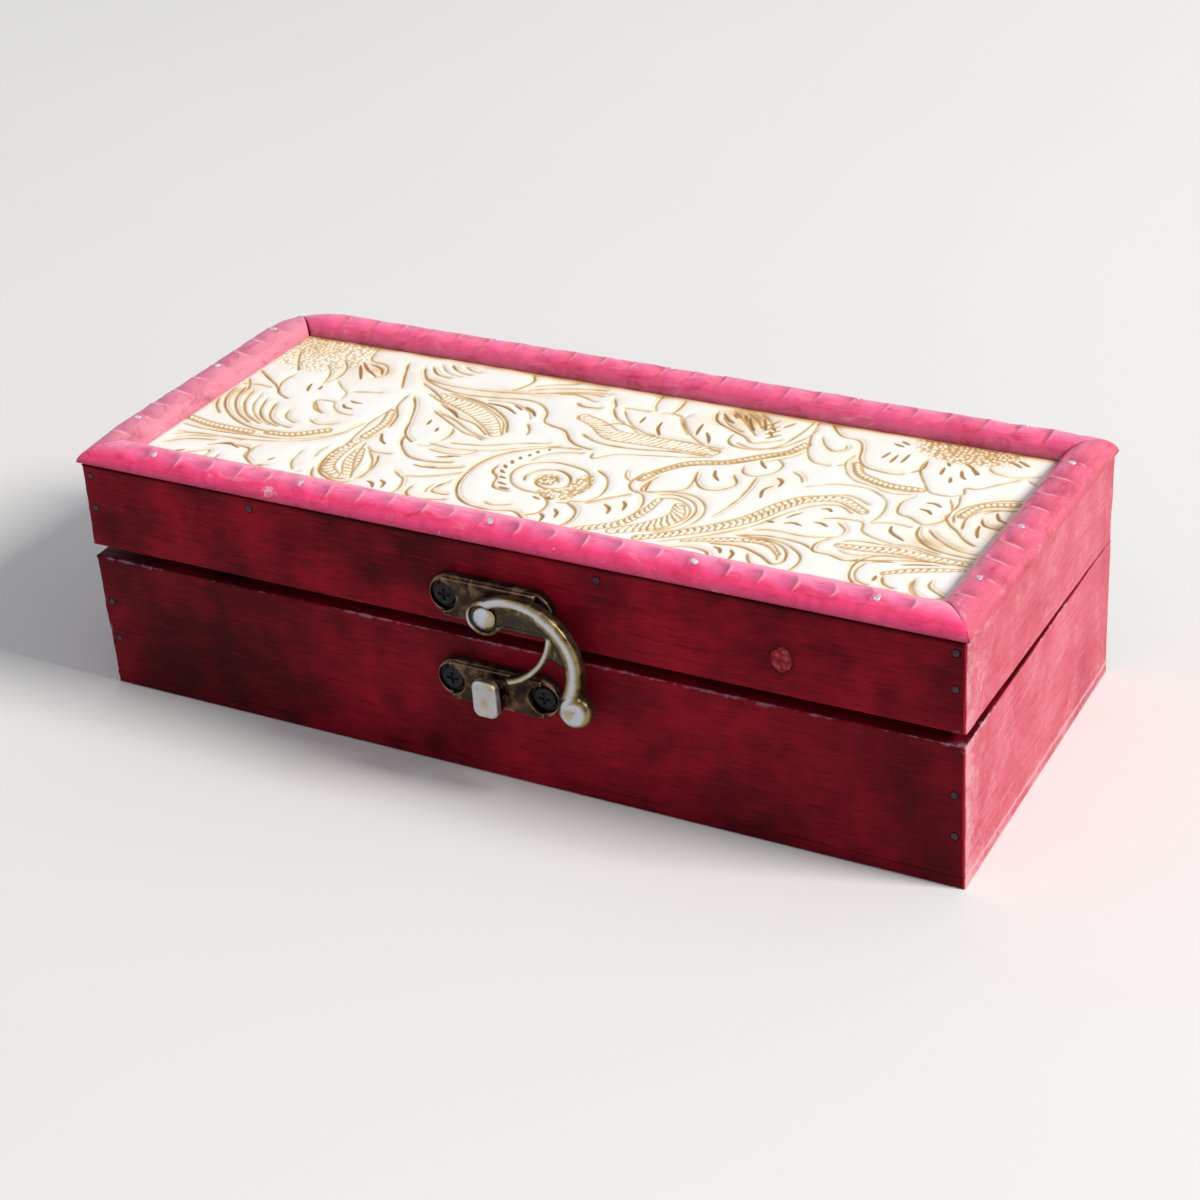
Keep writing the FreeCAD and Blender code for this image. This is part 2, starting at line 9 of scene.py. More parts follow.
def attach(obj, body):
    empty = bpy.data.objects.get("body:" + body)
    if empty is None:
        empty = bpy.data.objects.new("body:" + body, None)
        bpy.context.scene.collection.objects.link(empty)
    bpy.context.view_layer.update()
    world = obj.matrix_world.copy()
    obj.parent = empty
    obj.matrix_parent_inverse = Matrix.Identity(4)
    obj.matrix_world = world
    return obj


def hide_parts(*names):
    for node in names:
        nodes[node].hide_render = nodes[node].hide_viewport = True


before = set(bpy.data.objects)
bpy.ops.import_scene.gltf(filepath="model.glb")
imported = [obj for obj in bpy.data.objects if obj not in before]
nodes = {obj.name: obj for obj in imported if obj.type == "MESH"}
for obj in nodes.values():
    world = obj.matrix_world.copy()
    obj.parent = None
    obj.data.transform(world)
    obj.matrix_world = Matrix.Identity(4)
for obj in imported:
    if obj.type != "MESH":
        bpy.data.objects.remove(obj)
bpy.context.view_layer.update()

# Sizes of the box in millimetres, with the lid shut; the lid is then turned ajar about the hinge line
HALF_X = 102.5
HALF_Y = 43.0
BOARD = 5.0
BOTTOM = 2.5
BASE_TOP = 33.0
LID_BOTTOM = 33.15
LID_TOP = 52.75
SHEET = 1.2
MOULD_WIDTH = 9.4
MOULD_HEIGHT = 5.0
MOULD_SHOULDER = 1.0
OVERHANG = 0.6
PITCH = 7.6
HINGE_Y = 44.5
HINGE_Z = 33.075
AJAR = math.radians(1.75)
BRAD_X = HALF_X - 2.3
BASE_BRADS = (BOTTOM + 9.5, BOTTOM + 19.0)
LID_BRADS = (LID_BOTTOM + 9.4, LID_BOTTOM + 17.2)
PANEL_BRADS = (-58.22, 25.01)
PANEL_BRAD_Z = LID_TOP - 2.6
FELT_GAP, FELT_THICK = 0.1, 1.0

# Directions out of a board: the axis counted from one, with its sign
UP, DOWN, LEFT, RIGHT, FORE, AFT = 3, -3, -1, 1, -2, 2
NOISE_CELLS, NOISE_SHIFT = 256, 512.0


def tilted(points, angle=AJAR):
    """Points of the shut lid, turned ajar, or of the ajar lid, turned shut by the opposite angle."""
    y = points[:, 1] - HINGE_Y
    z = points[:, 2] - HINGE_Z
    turned = points.copy()
    turned[:, 1] = HINGE_Y + y * math.cos(angle) + z * math.sin(angle)
    turned[:, 2] = HINGE_Z - y * math.sin(angle) + z * math.cos(angle)
    return turned


def smooth(low, high, value):
    """Share from 0 at low to 1 at high, eased at both ends."""
    t = np.clip((value - low) / (high - low), 0, 1)
    return t * t * (3 - 2 * t)


def noise(a, b, cell, seed):
    """Smooth noise from -1 to 1 over two coordinates, with features about one cell across."""
    table = np.random.default_rng(seed).uniform(-1, 1, (NOISE_CELLS, NOISE_CELLS))
    a = np.asarray(a, float) / cell + NOISE_SHIFT
    b = np.asarray(b, float) / cell + NOISE_SHIFT
    i = np.floor(a).astype(int)
    j = np.floor(b).astype(int)
    u = a - i
    v = b - j
    u = u * u * (3 - 2 * u)
    v = v * v * (3 - 2 * v)
    i0, i1, j0, j1 = (k % NOISE_CELLS for k in (i, i + 1, j, j + 1))
    low = table[i0, j0] * (1 - u) + table[i1, j0] * u
    high = table[i0, j1] * (1 - u) + table[i1, j1] * u
    return low * (1 - v) + high * v


def piece(name, points, faces, body, stands_for, material, attributes=None):
    """A mesh in millimetres becomes an object that rides on a body in place of CAD nodes."""
    mesh = bpy.data.meshes.new(name)
    mesh.from_pydata((points / 1000).tolist(), [], faces if isinstance(faces, list) else faces.tolist())
    for key, values in (attributes or {}).items():
        layer = mesh.attributes.new(key, "FLOAT", "POINT")
        layer.data.foreach_set("value", np.ascontiguousarray(values, np.float32))
    mesh.polygons.foreach_set("use_smooth", np.ones(len(mesh.polygons), bool))
    mesh.materials.append(material)
    mesh.update()
    thing = bpy.data.objects.new(name, mesh)
    bpy.context.scene.collection.objects.link(thing)
    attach(thing, body)
    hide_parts(*stands_for)
    return thing


class Look:
    """A procedural material; textures follow each piece's own coordinates, in metres."""
    MIX_A, MIX_B, MIX_COLOUR = 6, 7, 2

    def __init__(self, name, roughness=0.5, metallic=0.0, specular=0.5):
        self.material = bpy.data.materials.new(name)
        self.material.use_nodes = True
        self.tree = self.material.node_tree
        self.shader = self.tree.nodes["Principled BSDF"]
        self.shader.inputs["Roughness"].default_value = roughness
        self.shader.inputs["Metallic"].default_value = metallic
        self.shader.inputs["Specular IOR Level"].default_value = specular

    def node(self, kind, **settings):
        made = self.tree.nodes.new(kind)
        for key, value in settings.items():
            setattr(made, key, value)
        return made

    def feed(self, socket, value):
        if hasattr(value, "is_output"):
            self.tree.links.new(value, socket)
        elif hasattr(value, "__len__") and len(value) == 3 and socket.type == "RGBA":
            socket.default_value = (*value, 1)
        else:
            socket.default_value = value

    def set(self, key, value):
        self.feed(self.shader.inputs[key], value)

    def place(self, scale=(1, 1, 1)):
        mapping = self.node("ShaderNodeMapping")
        mapping.inputs["Scale"].default_value = scale
        self.feed(mapping.inputs["Vector"], self.node("ShaderNodeTexCoord").outputs["Object"])
        return mapping.outputs["Vector"]

    def drawn_out(self, along, stretch):
        """Coordinates for a texture drawn out along one axis, as grain is."""
        return self.place(tuple(stretch if axis == along else 1.0 for axis in range(3)))

    def noise(self, where, scale, detail=3, roughness=0.55, warp=0.0):
        made = self.node("ShaderNodeTexNoise")
        self.feed(made.inputs["Vector"], where)
        made.inputs["Scale"].default_value = scale
        made.inputs["Detail"].default_value = detail
        made.inputs["Roughness"].default_value = roughness
        made.inputs["Distortion"].default_value = warp
        return made.outputs["Fac"]

    def value(self, key):
        return self.node("ShaderNodeAttribute", attribute_name=key).outputs["Fac"]

    def step(self, value, low, high, start=0.0, end=1.0):
        made = self.node("ShaderNodeMapRange", interpolation_type="SMOOTHSTEP")
        self.feed(made.inputs["Value"], value)
        made.inputs["From Min"].default_value = low
        made.inputs["From Max"].default_value = high
        made.inputs["To Min"].default_value = start
        made.inputs["To Max"].default_value = end
        return made.outputs["Result"]

    def math(self, kind, a, b):
        made = self.node("ShaderNodeMath", operation=kind)
        self.feed(made.inputs[0], a)
        self.feed(made.inputs[1], b)
        return made.outputs[0]

    def add(self, a, b):
        return self.math("ADD", a, b)

    def times(self, a, b):
        return self.math("MULTIPLY", a, b)

    def varied(self, value, by, low, high, start, end):
        """A value with a stepped texture added to it."""
        return self.add(value, self.step(by, low, high, start, end))

    def mix(self, share, a, b, blend="MIX"):
        made = self.node("ShaderNodeMix", data_type="RGBA", blend_type=blend)
        self.feed(made.inputs[0], share)
        self.feed(made.inputs[self.MIX_A], a)
        self.feed(made.inputs[self.MIX_B], b)
        return made.outputs[self.MIX_COLOUR]

    def ramp(self, value, *stops):
        made = self.node("ShaderNodeValToRGB")
        elements = made.color_ramp.elements
        while len(elements) < len(stops):
            elements.new(0.5)
        for element, (at, colour) in zip(elements, stops):
            element.position = at
            element.color = (*colour, 1)
        self.feed(made.inputs[0], value)
        return made.outputs[0]

    def bump(self, height, strength, distance):
        made = self.node("ShaderNodeBump")
        made.inputs["Strength"].default_value = strength
        made.inputs["Distance"].default_value = distance
        self.feed(made.inputs["Height"], height)
        self.set("Normal", made.outputs["Normal"])


# Stains from deep to bright: the front is crimson, and the right side, on which the light falls, takes a
# lighter faded copy with painted sunlight in it
CRIMSON = ((0.070, 0.0024, 0.0066), (0.205, 0.0044, 0.0130), (0.35, 0.0070, 0.0200))
FADED_AND_SUNLIT = ((0.42, 0.055, 0.085), (0.52, 0.095, 0.132), (0.58, 0.135, 0.175))
# Below: a painted highlight, painted shade with grime, pale wear with a painted reflection, dust with a
# painted sheen, and bare wood
RUDDY_HIGHLIGHT = (0.52, 0.010, 0.026)
SHADED_GRIME = (0.022, 0.0018, 0.0035)
PALE_WEAR_AND_SHEEN = (0.36, 0.21, 0.29)
DUST_AND_SHEEN_PINK = (0.66, 0.43, 0.46)
BARE = ((0.20, 0.012, 0.018), (0.36, 0.035, 0.04), (0.52, 0.15, 0.13))


def wood(name, along):
    """Red-stained wood: blotches, grain, pores, a faded right side with painted sunlight and a painted sheen
    over its dust, painted shade with some grime, pale rubbed edges with a painted reflection, and a painted
    highlight down the front right corner.
    """
    look = Look(name, 0.45, specular=0.045)
    where = look.place()
    blotch = look.noise(where, 20, 4, 0.6, 0.4)
    cloud = look.noise(where, 110, 3, 0.6)
    streak = look.noise(look.drawn_out(along, 0.1), 1300, 4, 0.65)
    pore = look.noise(look.drawn_out(along, 0.12), 2800, 2, 0.5)
    fade = look.value("fade")
    tone = look.add(look.times(blotch, 0.6), look.times(cloud, 0.4))
    stops = (0.36, 0.5, 0.66)
    # Toward the right end the stain turns to the lighter faded copy, with painted sunlight in it
    colour = look.mix(fade, look.ramp(tone, *zip(stops, CRIMSON)), look.ramp(tone, *zip(stops, FADED_AND_SUNLIT)))
    deep = look.mix(fade, CRIMSON[0], FADED_AND_SUNLIT[0])
    lively = look.mix(fade, CRIMSON[2], FADED_AND_SUNLIT[2])
    colour = look.mix(look.step(streak, 0.5, 0.7, 0.0, 0.5), colour, deep)
    colour = look.mix(look.step(streak, 0.3, 0.48, 0.45, 0.0), colour, lively)
    colour = look.mix(look.step(pore, 0.58, 0.7, 0.0, 0.45), colour, deep)
    # Painted shade with some grime: darker on the base, toward the ends and under the moulding
    grime_and_shade = look.varied(look.value("grime_and_shade"), blotch, 0.35, 0.65, 0.15, -0.15)
    colour = look.mix(look.step(grime_and_shade, 0.0, 1.0, 0.0, 0.9), colour, SHADED_GRIME)
    # Dust with a painted sheen on the right side, most toward its front edge and its foot
    dust_and_sheen = look.varied(look.value("haze_of_dust_and_sheen"), look.noise(where, 420, 5, 0.75), 0.25, 0.75, -0.35, 0.35)
    dust_and_sheen = look.varied(dust_and_sheen, look.noise(where, 110, 5, 0.72, 0.5), 0.34, 0.66, -0.22, 0.22)
    colour = look.mix(look.times(fade, look.step(dust_and_sheen, 0.0, 1.2, 0.0, 0.6)), colour, DUST_AND_SHEEN_PINK)
    # A painted highlight down the front right corner, where the rounded edge catches the light
    colour = look.mix(look.step(look.value("corner"), 0.35, 0.75, 0.0, 0.85), colour, RUDDY_HIGHLIGHT)
    # Rubbed edges: pale from wear, with a painted reflection along them
    rub_and_gleam = look.varied(look.value("edge"), look.noise(where, 75, 3, 0.6), 0.3, 0.7, -0.35, 0.25)
    rub_and_gleam = look.varied(rub_and_gleam, look.noise(where, 520, 4, 0.7), 0.25, 0.75, -0.3, 0.3)
    colour = look.mix(look.step(rub_and_gleam, 0.55, 1.15, 0.0, 0.8), colour, look.mix(fade, PALE_WEAR_AND_SHEEN, DUST_AND_SHEEN_PINK))
    chip = look.value("chip")
    colour = look.mix(look.step(chip, 0.05, 0.4, 0.0, 0.7), colour, CRIMSON[0])
    bare = look.ramp(look.noise(where, 800, 4, 0.7), *zip((0.38, 0.54, 0.7), BARE))
    colour = look.mix(look.step(chip, 0.5, 0.72, 0.0, 0.85), colour, bare)
    look.set("Base Color", colour)
    look.set("Roughness", look.step(streak, 0.3, 0.8, 0.36, 0.56))
    look.bump(look.add(streak, look.times(pore, 0.8)), 0.35, 0.00012)
    return look.material


def quads(index, flip=False):
    """Faces between the neighbours of a grid of point numbers."""
    made = np.stack([index[:-1, :-1], index[1:, :-1], index[1:, 1:], index[:-1, 1:]], -1).reshape(-1, 4)
    return made[:, ::-1] if flip else made


def box_grid(axes):
    """Closed skin of a box from three lists of coordinates."""
    counts = [len(axis) for axis in axes]
    skin = np.zeros(counts, bool)
    skin[0] = skin[-1] = True
    skin[:, 0] = skin[:, -1] = True
    skin[:, :, 0] = skin[:, :, -1] = True
    index = np.full(counts, -1)
    index[skin] = np.arange(skin.sum())
    i, j, k = np.nonzero(skin)
    points = np.stack([axes[0][i], axes[1][j], axes[2][k]], 1)
    faces = [quads(index[0], True), quads(index[-1]), quads(index[:, 0]),
             quads(index[:, -1], True), quads(index[:, :, 0], True), quads(index[:, :, -1])]
    return points, np.concatenate(faces)


# Steps in from an edge, points over a spot, a brad's seat (reach, depth) and the chip (reach, size, depth)
END_STEPS = np.array([0, 0.05, 0.14, 0.28, 0.45, 0.7, 1.1, 1.7])
SPOT_POINTS = 21
BRAD_REACH, BRAD_SINK = 1.3, 0.4
CHIP_REACH, CHIP_SIZE, CHIP_DEPTH = (2.8, 3.8), (1.9, 2.7), 0.18


def samples(low, high, step, spots=()):
    """Coordinates from low to high, closer together at both ends and within reach of chosen spots."""
    ends = END_STEPS[END_STEPS < (high - low) / 2]
    spread = [low + ends, high - ends, np.linspace(low, high, max(2, int((high - low) / step) + 1))]
    spread += [spot + np.linspace(-reach, reach, SPOT_POINTS) for spot, reach in spots]
    values = np.unique(np.round(np.concatenate(spread), 3))
    return values[(values >= low) & (values <= high)]


def rounded(points, low, high, edges, lid, seed):
    """Wears a board's edges round in place. Returns nearness to them, and to the front right corner, which
    takes a painted highlight.
    """
    flat = points.copy()
    nearness = np.zeros(len(points))
    corner = np.zeros(len(points))
    for (a, b), radius in edges:
        first, second = abs(a) - 1, abs(b) - 1
        run = flat[:, 3 - first - second]
        to_a = high[first] - flat[:, first] if a > 0 else flat[:, first] - low[first]
        to_b = high[second] - flat[:, second] if b > 0 else flat[:, second] - low[second]
        uneven = 1 + 0.45 * noise(run, 7.0 * (a + 2 * b), 9, seed) + 0.3 * noise(run, 3.0 * a, 2.2, seed + 1)
        worn = radius * uneven
        near = np.exp(-np.maximum(to_a, to_b) / 0.8)
        # The front right edge is kept apart for its painted highlight
        if (a, b) == (FORE, RIGHT):
            corner = near * (flat[:, 0] < high[0] - 0.1)
        elif not (lid and b == UP):
            nearness = np.maximum(nearness, near * min(1, radius / 0.6))
        at = np.nonzero((to_a < worn) & (to_b < worn))[0]
        in_a, in_b = worn[at] - to_a[at], worn[at] - to_b[at]
        scale = worn[at] / np.maximum(np.hypot(in_a, in_b), 1e-6)
        sink_a, sink_b = worn[at] - in_a * scale, worn[at] - in_b * scale
        points[at, first] = high[first] - sink_a if a > 0 else low[first] + sink_a
        points[at, second] = high[second] - sink_b if b > 0 else low[second] + sink_b
    return nearness, corner


def weathered(points, lid):
    """How faded, dusty and grimy a board is at each point, with light painted in: painted sunlight on the
    right end, a painted sheen over its dust, and painted shade with the grime.
    """
    # The right end takes the faded stain with painted sunlight in it
    fade = smooth(HALF_X - 0.3, HALF_X - 0.02, points[:, 0])
    # Dust and painted sheen, most toward the front edge and the foot; it shows only on the right side
    haze_of_dust_and_sheen = 0.7 * np.exp(-(points[:, 1] + HALF_Y) / 6) + 0.4 * np.exp(-points[:, 2] / 2.5) + 0.06
    haze_of_dust_and_sheen += 0.9 * np.exp(-((points[:, 2] - BOTTOM) / 0.5) ** 2)
    ends = smooth(40, 80, points[:, 0]) + 0.6 * smooth(-50, -95, points[:, 0])
    # Painted shade with some grime: the base darker than the lid, both darker toward the ends
    grime_and_shade = 0.15 + 0.15 * ends if lid else 0.32 + 0.3 * ends
    if lid:
        # Painted shade under the moulding: the lid boards darken toward their top
        grime_and_shade = grime_and_shade + 0.75 * np.exp((points[:, 2] - LID_TOP) / 0.5)
    return {"fade": fade, "haze_of_dust_and_sheen": haze_of_dust_and_sheen, "grime_and_shade": grime_and_shade * (1 - fade)}


def worn_board(name, low, high, edges, material, lid, seed, brads=(), step=1.4, chip=None):
    """A board with rubbed, slightly uneven edges. Each edge is two outer faces and a radius."""
    low, high = np.array(low, float), np.array(high, float)
    spots = [[(brad[0], BRAD_REACH) for brad in brads], [], [(brad[1], BRAD_REACH) for brad in brads]]
    if chip:
        spots[0].append((chip[0], CHIP_REACH[0]))
        spots[2].append((chip[1], CHIP_REACH[1]))
    points, faces = box_grid([samples(low[a], high[a], step, sorted(set(spots[a]))) for a in range(3)])
    flat = points.copy()
    nearness, corner = rounded(points, low, high, edges, lid, seed)
    outer = flat[:, 1] == low[1] if brads and low[1] < 0 else flat[:, 1] == high[1]
    facing = 1 if brads and low[1] < 0 else -1
    points[:, 2] += 0.05 * noise(flat[:, 0], flat[:, 1], 14, seed + 2) * (flat[:, 2] == high[2])
    for x, z in brads:
        away = np.hypot(flat[:, 0] - x, flat[:, 2] - z)
        points[:, 1] += facing * BRAD_SINK * outer * smooth(0.98, 0.8, away)
    marks = np.zeros(len(points))
    if chip:
        away = np.hypot((flat[:, 0] - chip[0]) / CHIP_SIZE[0], (flat[:, 2] - chip[1]) / CHIP_SIZE[1])
        away += 0.15 * noise(flat[:, 0], flat[:, 2], 1.6, seed + 3)
        marks = outer * smooth(1.6, 0.7, away)
        points[:, 1] += facing * CHIP_DEPTH * outer * smooth(1.1, 0.9, away)
    tip = np.linalg.norm(points - [HALF_X, -HALF_Y, BASE_TOP], axis=1)
    nearness = np.maximum(nearness, 1.1 * np.exp(-tip / 2.6) * (not lid))
    values = {"edge": nearness, "chip": marks, **weathered(points, lid), "corner": corner}
    shown = tilted(points) if lid else points
    return piece(name + "_worn", shown, faces, "lid" if lid else "base", [name], material, values)


long_wood = wood("red_stain_and_light_long", 0)
side_wood = wood("red_stain_and_light_side", 1)


def long_edges(outer):
    """Edges of a front or back board, with the radius that wear has given each."""
    return [((outer, UP), 0.55), ((outer, LEFT), 0.7), ((outer, RIGHT), 0.7), ((LEFT, UP), 0.4),
            ((RIGHT, UP), 0.4), ((outer, DOWN), 0.25), ((-outer, UP), 0.2), ((-outer, LEFT), 0.12),
            ((-outer, RIGHT), 0.12)]


def side_edges(outer):
    """Edges of a left or right board, with their radii."""
    return [((outer, UP), 0.5), ((outer, DOWN), 0.25), ((outer, FORE), 0.12), ((outer, AFT), 0.12),
            ((-outer, UP), 0.2)]


def tray(prefix, bottom, top, lid, brad_heights, seed, chip=None, extra=()):
    """Four boards: front and back at full length, sides butted between them."""
    inner_x, inner_y = HALF_X - BOARD, HALF_Y - BOARD
    corner = [(x, z) for x in (-BRAD_X, BRAD_X) for z in brad_heights]
    back_extra = [(-x, z) for x, z in extra]
    worn_board(prefix + "_front_board", (-HALF_X, -HALF_Y, bottom), (HALF_X, -inner_y, top),
               long_edges(FORE), long_wood, lid, seed, brads=corner + list(extra), chip=chip)
    worn_board(prefix + "_back_board", (-HALF_X, inner_y, bottom), (HALF_X, HALF_Y, top),
               long_edges(AFT), long_wood, lid, seed + 10, brads=corner + back_extra)
    worn_board(prefix + "_left_board", (-HALF_X, -inner_y, bottom), (-inner_x, inner_y, top),
               side_edges(LEFT), side_wood, lid, seed + 20)
    worn_board(prefix + "_right_board", (inner_x, -inner_y, bottom), (HALF_X, inner_y, top),
               side_edges(RIGHT), side_wood, lid, seed + 30)


tray("base", BOTTOM, BASE_TOP, False, BASE_BRADS, 100)
tray("lid", LID_BOTTOM, LID_TOP, True, LID_BRADS, 200, chip=(64.7, 40.8),
     extra=[(x, PANEL_BRAD_Z) for x in PANEL_BRADS])
PANEL_EDGES = [((a, b), 0.5) for a in (FORE, AFT) for b in (LEFT, RIGHT)]
PANEL_EDGES += [((a, b), 0.12) for a in (FORE, AFT, LEFT, RIGHT) for b in (UP, DOWN)]
worn_board("base_bottom_panel", (-HALF_X, -HALF_Y, 0), (HALF_X, HALF_Y, BOTTOM), PANEL_EDGES, long_wood, False,
           300, step=2.0)


# Carved moulding: half-round, with a gouge cut every few millimetres that ends in a steep little wall
RISE = MOULD_HEIGHT - MOULD_SHOULDER
CROWN = ((MOULD_WIDTH / 2) ** 2 + RISE ** 2) / (2 * RISE)
# How far the top is worn down at the front left, front right, back right and back left corners
WORN_CORNERS, WORN_REACH = (0.35, 0.2, 0.1, 0.8), 8.0
# Points over the crown, spacing of the rows along it, and half length of a cut
CROWN_POINTS, ROW_STEP, GOUGE = 51, 0.22, 3.35
MITRE_DEPTH, MITRE_WIDTH = 0.25, 0.3


def section(count):
    """Points across the moulding: distance in, height above the lid, normal, and share of the way over."""
    half = math.asin(MOULD_WIDTH / 2 / CROWN)
    angle = np.linspace(-half, half, count)
    arc_in = MOULD_WIDTH / 2 + CROWN * np.sin(angle)
    arc_up = MOULD_HEIGHT - CROWN + CROWN * np.cos(angle)
    inward = np.concatenate([[1.0, 0.9, 0.35, 0.08, 0], arc_in, [MOULD_WIDTH, MOULD_WIDTH]])
    upward = np.concatenate([[0, 0.42, 0.46, 0.58, 0.8], arc_up, [0.5, 0]])
    normal_in = np.concatenate([[-1, -1, -1, -1, -1], np.sin(angle), [1, 1]])
    normal_up = np.concatenate([[0, 0, 0, 0, 0], np.cos(angle), [0, 0]])
    over = np.concatenate([0.1 * upward[:5], 0.5 + 0.4 * angle / half, [0.95, 1.0]])
    return inward, upward, normal_in, normal_up, over


def quarter(points, quarters):
    """Points of the front moulding, turned to another side of the lid and ajar with it."""
    turn = quarters * math.pi / 2
    turned = points.copy()
    turned[:, 0] = points[:, 0] * math.cos(turn) - points[:, 1] * math.sin(turn)
    turned[:, 1] = points[:, 0] * math.sin(turn) + points[:, 1] * math.cos(turn)
    return tilted(turned)


def carved(run, across, count, seed, centre, wide, steep, sharp):
    """Cuts and the lips that they leave, from 0 to about 1; steep is the end with the wall, 1 or -1."""
    random = np.random.default_rng(seed)
    cut = np.zeros(run.shape)
    lips = np.zeros(run.shape)
    for index in range(count):
        middle = (index - (count - 1) / 2) * PITCH + random.uniform(-0.6, 0.6)
        off = (across - centre - random.uniform(-0.45, 0.45)) / (wide * random.uniform(0.85, 1.1))
        along = (run - middle) / (GOUGE * random.uniform(0.86, 1.06)) * steep
        along = along + random.uniform(0.3, 0.6) * off ** 2
        inside = np.clip((along + 1) / 2, 0, 1)
        within = np.clip(1 - off ** 2, 0, 1)
        cut = np.maximum(cut, np.sin(np.pi * inside ** sharp) ** 0.8 * within * random.uniform(0.6, 1.1))
        lips = np.maximum(lips, np.exp(-((along - 1.12) / 0.15) ** 2) * within)
    return cut, lips


def moulding(name, quarters, half_length, half_width, pins, inset, cuts, deep, look, seed, scuffs=()):
    """One mitred length, built as the front one and turned by quarters to its side of the lid."""
    inward, upward, normal_in, normal_up, over = section(CROWN_POINTS)
    rows = int(half_length * 2 / ROW_STEP)
    share = np.linspace(-1, 1, rows)
    run = share[:, None] * (half_length - inward[None, :])
    across = inward[None, :] - MOULD_WIDTH / 2
    count = round(2 * (half_length - MOULD_WIDTH) / PITCH - 0.3)
    cut, lips = carved(run, across, count, seed, **cuts)
    for place in pins:
        clear = smooth(0.8, 2.2, np.hypot(run - place, across - (inset + OVERHANG - MOULD_WIDTH / 2)))
        cut, lips = cut * clear, lips * clear
    fade = smooth(1.0, 0.985, np.abs(share))[:, None]
    to_mitre = (half_length - inward[None, :]) * (1 - np.abs(share))[:, None]
    depth = deep * (cut - 0.2 * lips) + 0.09 * noise(run, across * 2, 5, seed)
    depth = (depth + 0.05 * noise(run, across, 1.4, seed + 1)) * fade
    depth = (depth + MITRE_DEPTH * np.exp(-to_mitre / MITRE_WIDTH)) * (normal_up > 0)[None, :]
    offset = inward[None, :] - depth * normal_in[None, :]
    height = upward[None, :] - depth * normal_up[None, :]
    wear = np.where(run < 0, WORN_CORNERS[quarters], WORN_CORNERS[(quarters + 1) % 4])
    wear = wear * np.exp(-((half_length - np.abs(run)) ** 2 + inward[None, :] ** 2) / WORN_REACH ** 2)
    height = height - wear * np.maximum(height - MOULD_SHOULDER, 0)
    grid = np.stack([run, offset - half_width, LID_TOP + height], -1).reshape(-1, 3)
    width = len(inward)
    index = np.arange(rows * width).reshape(rows, width)
    under = np.stack([index[:-1, -1], index[1:, -1], index[1:, 0], index[:-1, 0]], -1)
    faces = np.concatenate([quads(index), under]).tolist()
    faces += [index[0].tolist(), index[-1][::-1].tolist()]
    corner = np.exp(-to_mitre / 0.7) * (0.35 + 0.65 * smooth(4.5, 0.5, inward))[None, :]
    low_edge = np.exp(-upward / 0.7)[None, :] * (inward < 1)[None, :] * 0.6
    wear_and_gleam = np.maximum(corner, low_edge)
    for place, inside, reach in scuffs:
        scuff = np.exp(-((run - place) / reach) ** 2 - ((inward - inside) / 1.2) ** 2)
        wear_and_gleam = np.maximum(wear_and_gleam, 0.85 * scuff)
    values = {"edge": wear_and_gleam.ravel(), "dip": np.clip(cut, 0, 1).ravel(), "lip_highlight": lips.ravel(),
              "over": np.tile(over, rows), "joint": np.exp(-to_mitre / 0.16).ravel()}
    shown = quarter(grid, quarters)
    return piece(name + "_carved", shown, faces, "lid", [name], look, values)


def moulding_look(name, along, stops, dip_shading, lip_highlight, worn):
    """Pink stain that changes from the outer edge over the crown to the inner edge, with each side's light and
    shade painted into it.
    """
    look = Look(name, 0.34, specular=0.25)
    where = look.place()
    tone = look.noise(where, 60, 4, 0.6, 0.5)
    streak = look.noise(look.drawn_out(along, 0.06), 1100, 4, 0.6)
    # The ramp holds each side's painted light and shade across the profile
    colour = look.ramp(look.value("over"), *stops)
    colour = look.mix(look.step(tone, 0.32, 0.48, 0.7, 0.0), colour, DULLED, "MULTIPLY")
    colour = look.mix(look.step(streak, 0.48, 0.75, 0.0, 0.6), colour, DULLED, "MULTIPLY")
    mottle = look.noise(look.drawn_out(along, 0.45), 330, 5, 0.72, 0.6)
    colour = look.mix(look.step(mottle, 0.5, 0.68, 0.0, 0.75), colour, MURKY, "MULTIPLY")
    colour = look.mix(look.step(mottle, 0.3, 0.42, 0.22, 0.0), colour, worn)
    # Painted shade in the dips; the back moulding's dips are painted lighter instead
    colour = look.mix(look.step(look.value("dip"), 0.1, 0.75, 0.0, 0.65), colour, dip_shading)
    # Painted highlight on the lips, where the rims of the cuts catch the light
    colour = look.mix(look.step(look.value("lip_highlight"), 0.25, 0.9, 0.0, 0.75), colour, lip_highlight)
    rub_and_gleam = look.varied(look.value("edge"), look.noise(where, 90, 3, 0.6), 0.3, 0.7, -0.4, 0.2)
    rub_and_gleam = look.varied(rub_and_gleam, look.noise(where, 600, 4, 0.7), 0.25, 0.75, -0.3, 0.3)
    colour = look.mix(look.step(rub_and_gleam, 0.68, 1.1, 0.0, 0.8), colour, worn)
    colour = look.mix(look.step(look.noise(where, 800, 2, 0.5), 0.76, 0.79, 0.0, 0.6), colour, worn)
    colour = look.mix(look.step(look.value("joint"), 0.3, 0.9, 0.0, 0.8), colour, (0.12, 0.006, 0.02))
    look.set("Base Color", colour)
    look.set("Roughness", look.step(streak, 0.3, 0.8, 0.27, 0.46))
    look.bump(look.add(streak, tone), 0.25, 0.0001)
    return look.material


# Stains across the mouldings, from the foot of the outer face to the foot of the inner one, with each side's
# light painted in: painted shade at the outer foot, a painted sheen on the front's crown, painted sunlight on
# the right and on the left's inner slope, and a painted shadow at the back's inner foot
DULLED, MURKY, CHALK = (0.84, 0.60, 0.68), (0.66, 0.42, 0.50), (0.86, 0.60, 0.66)
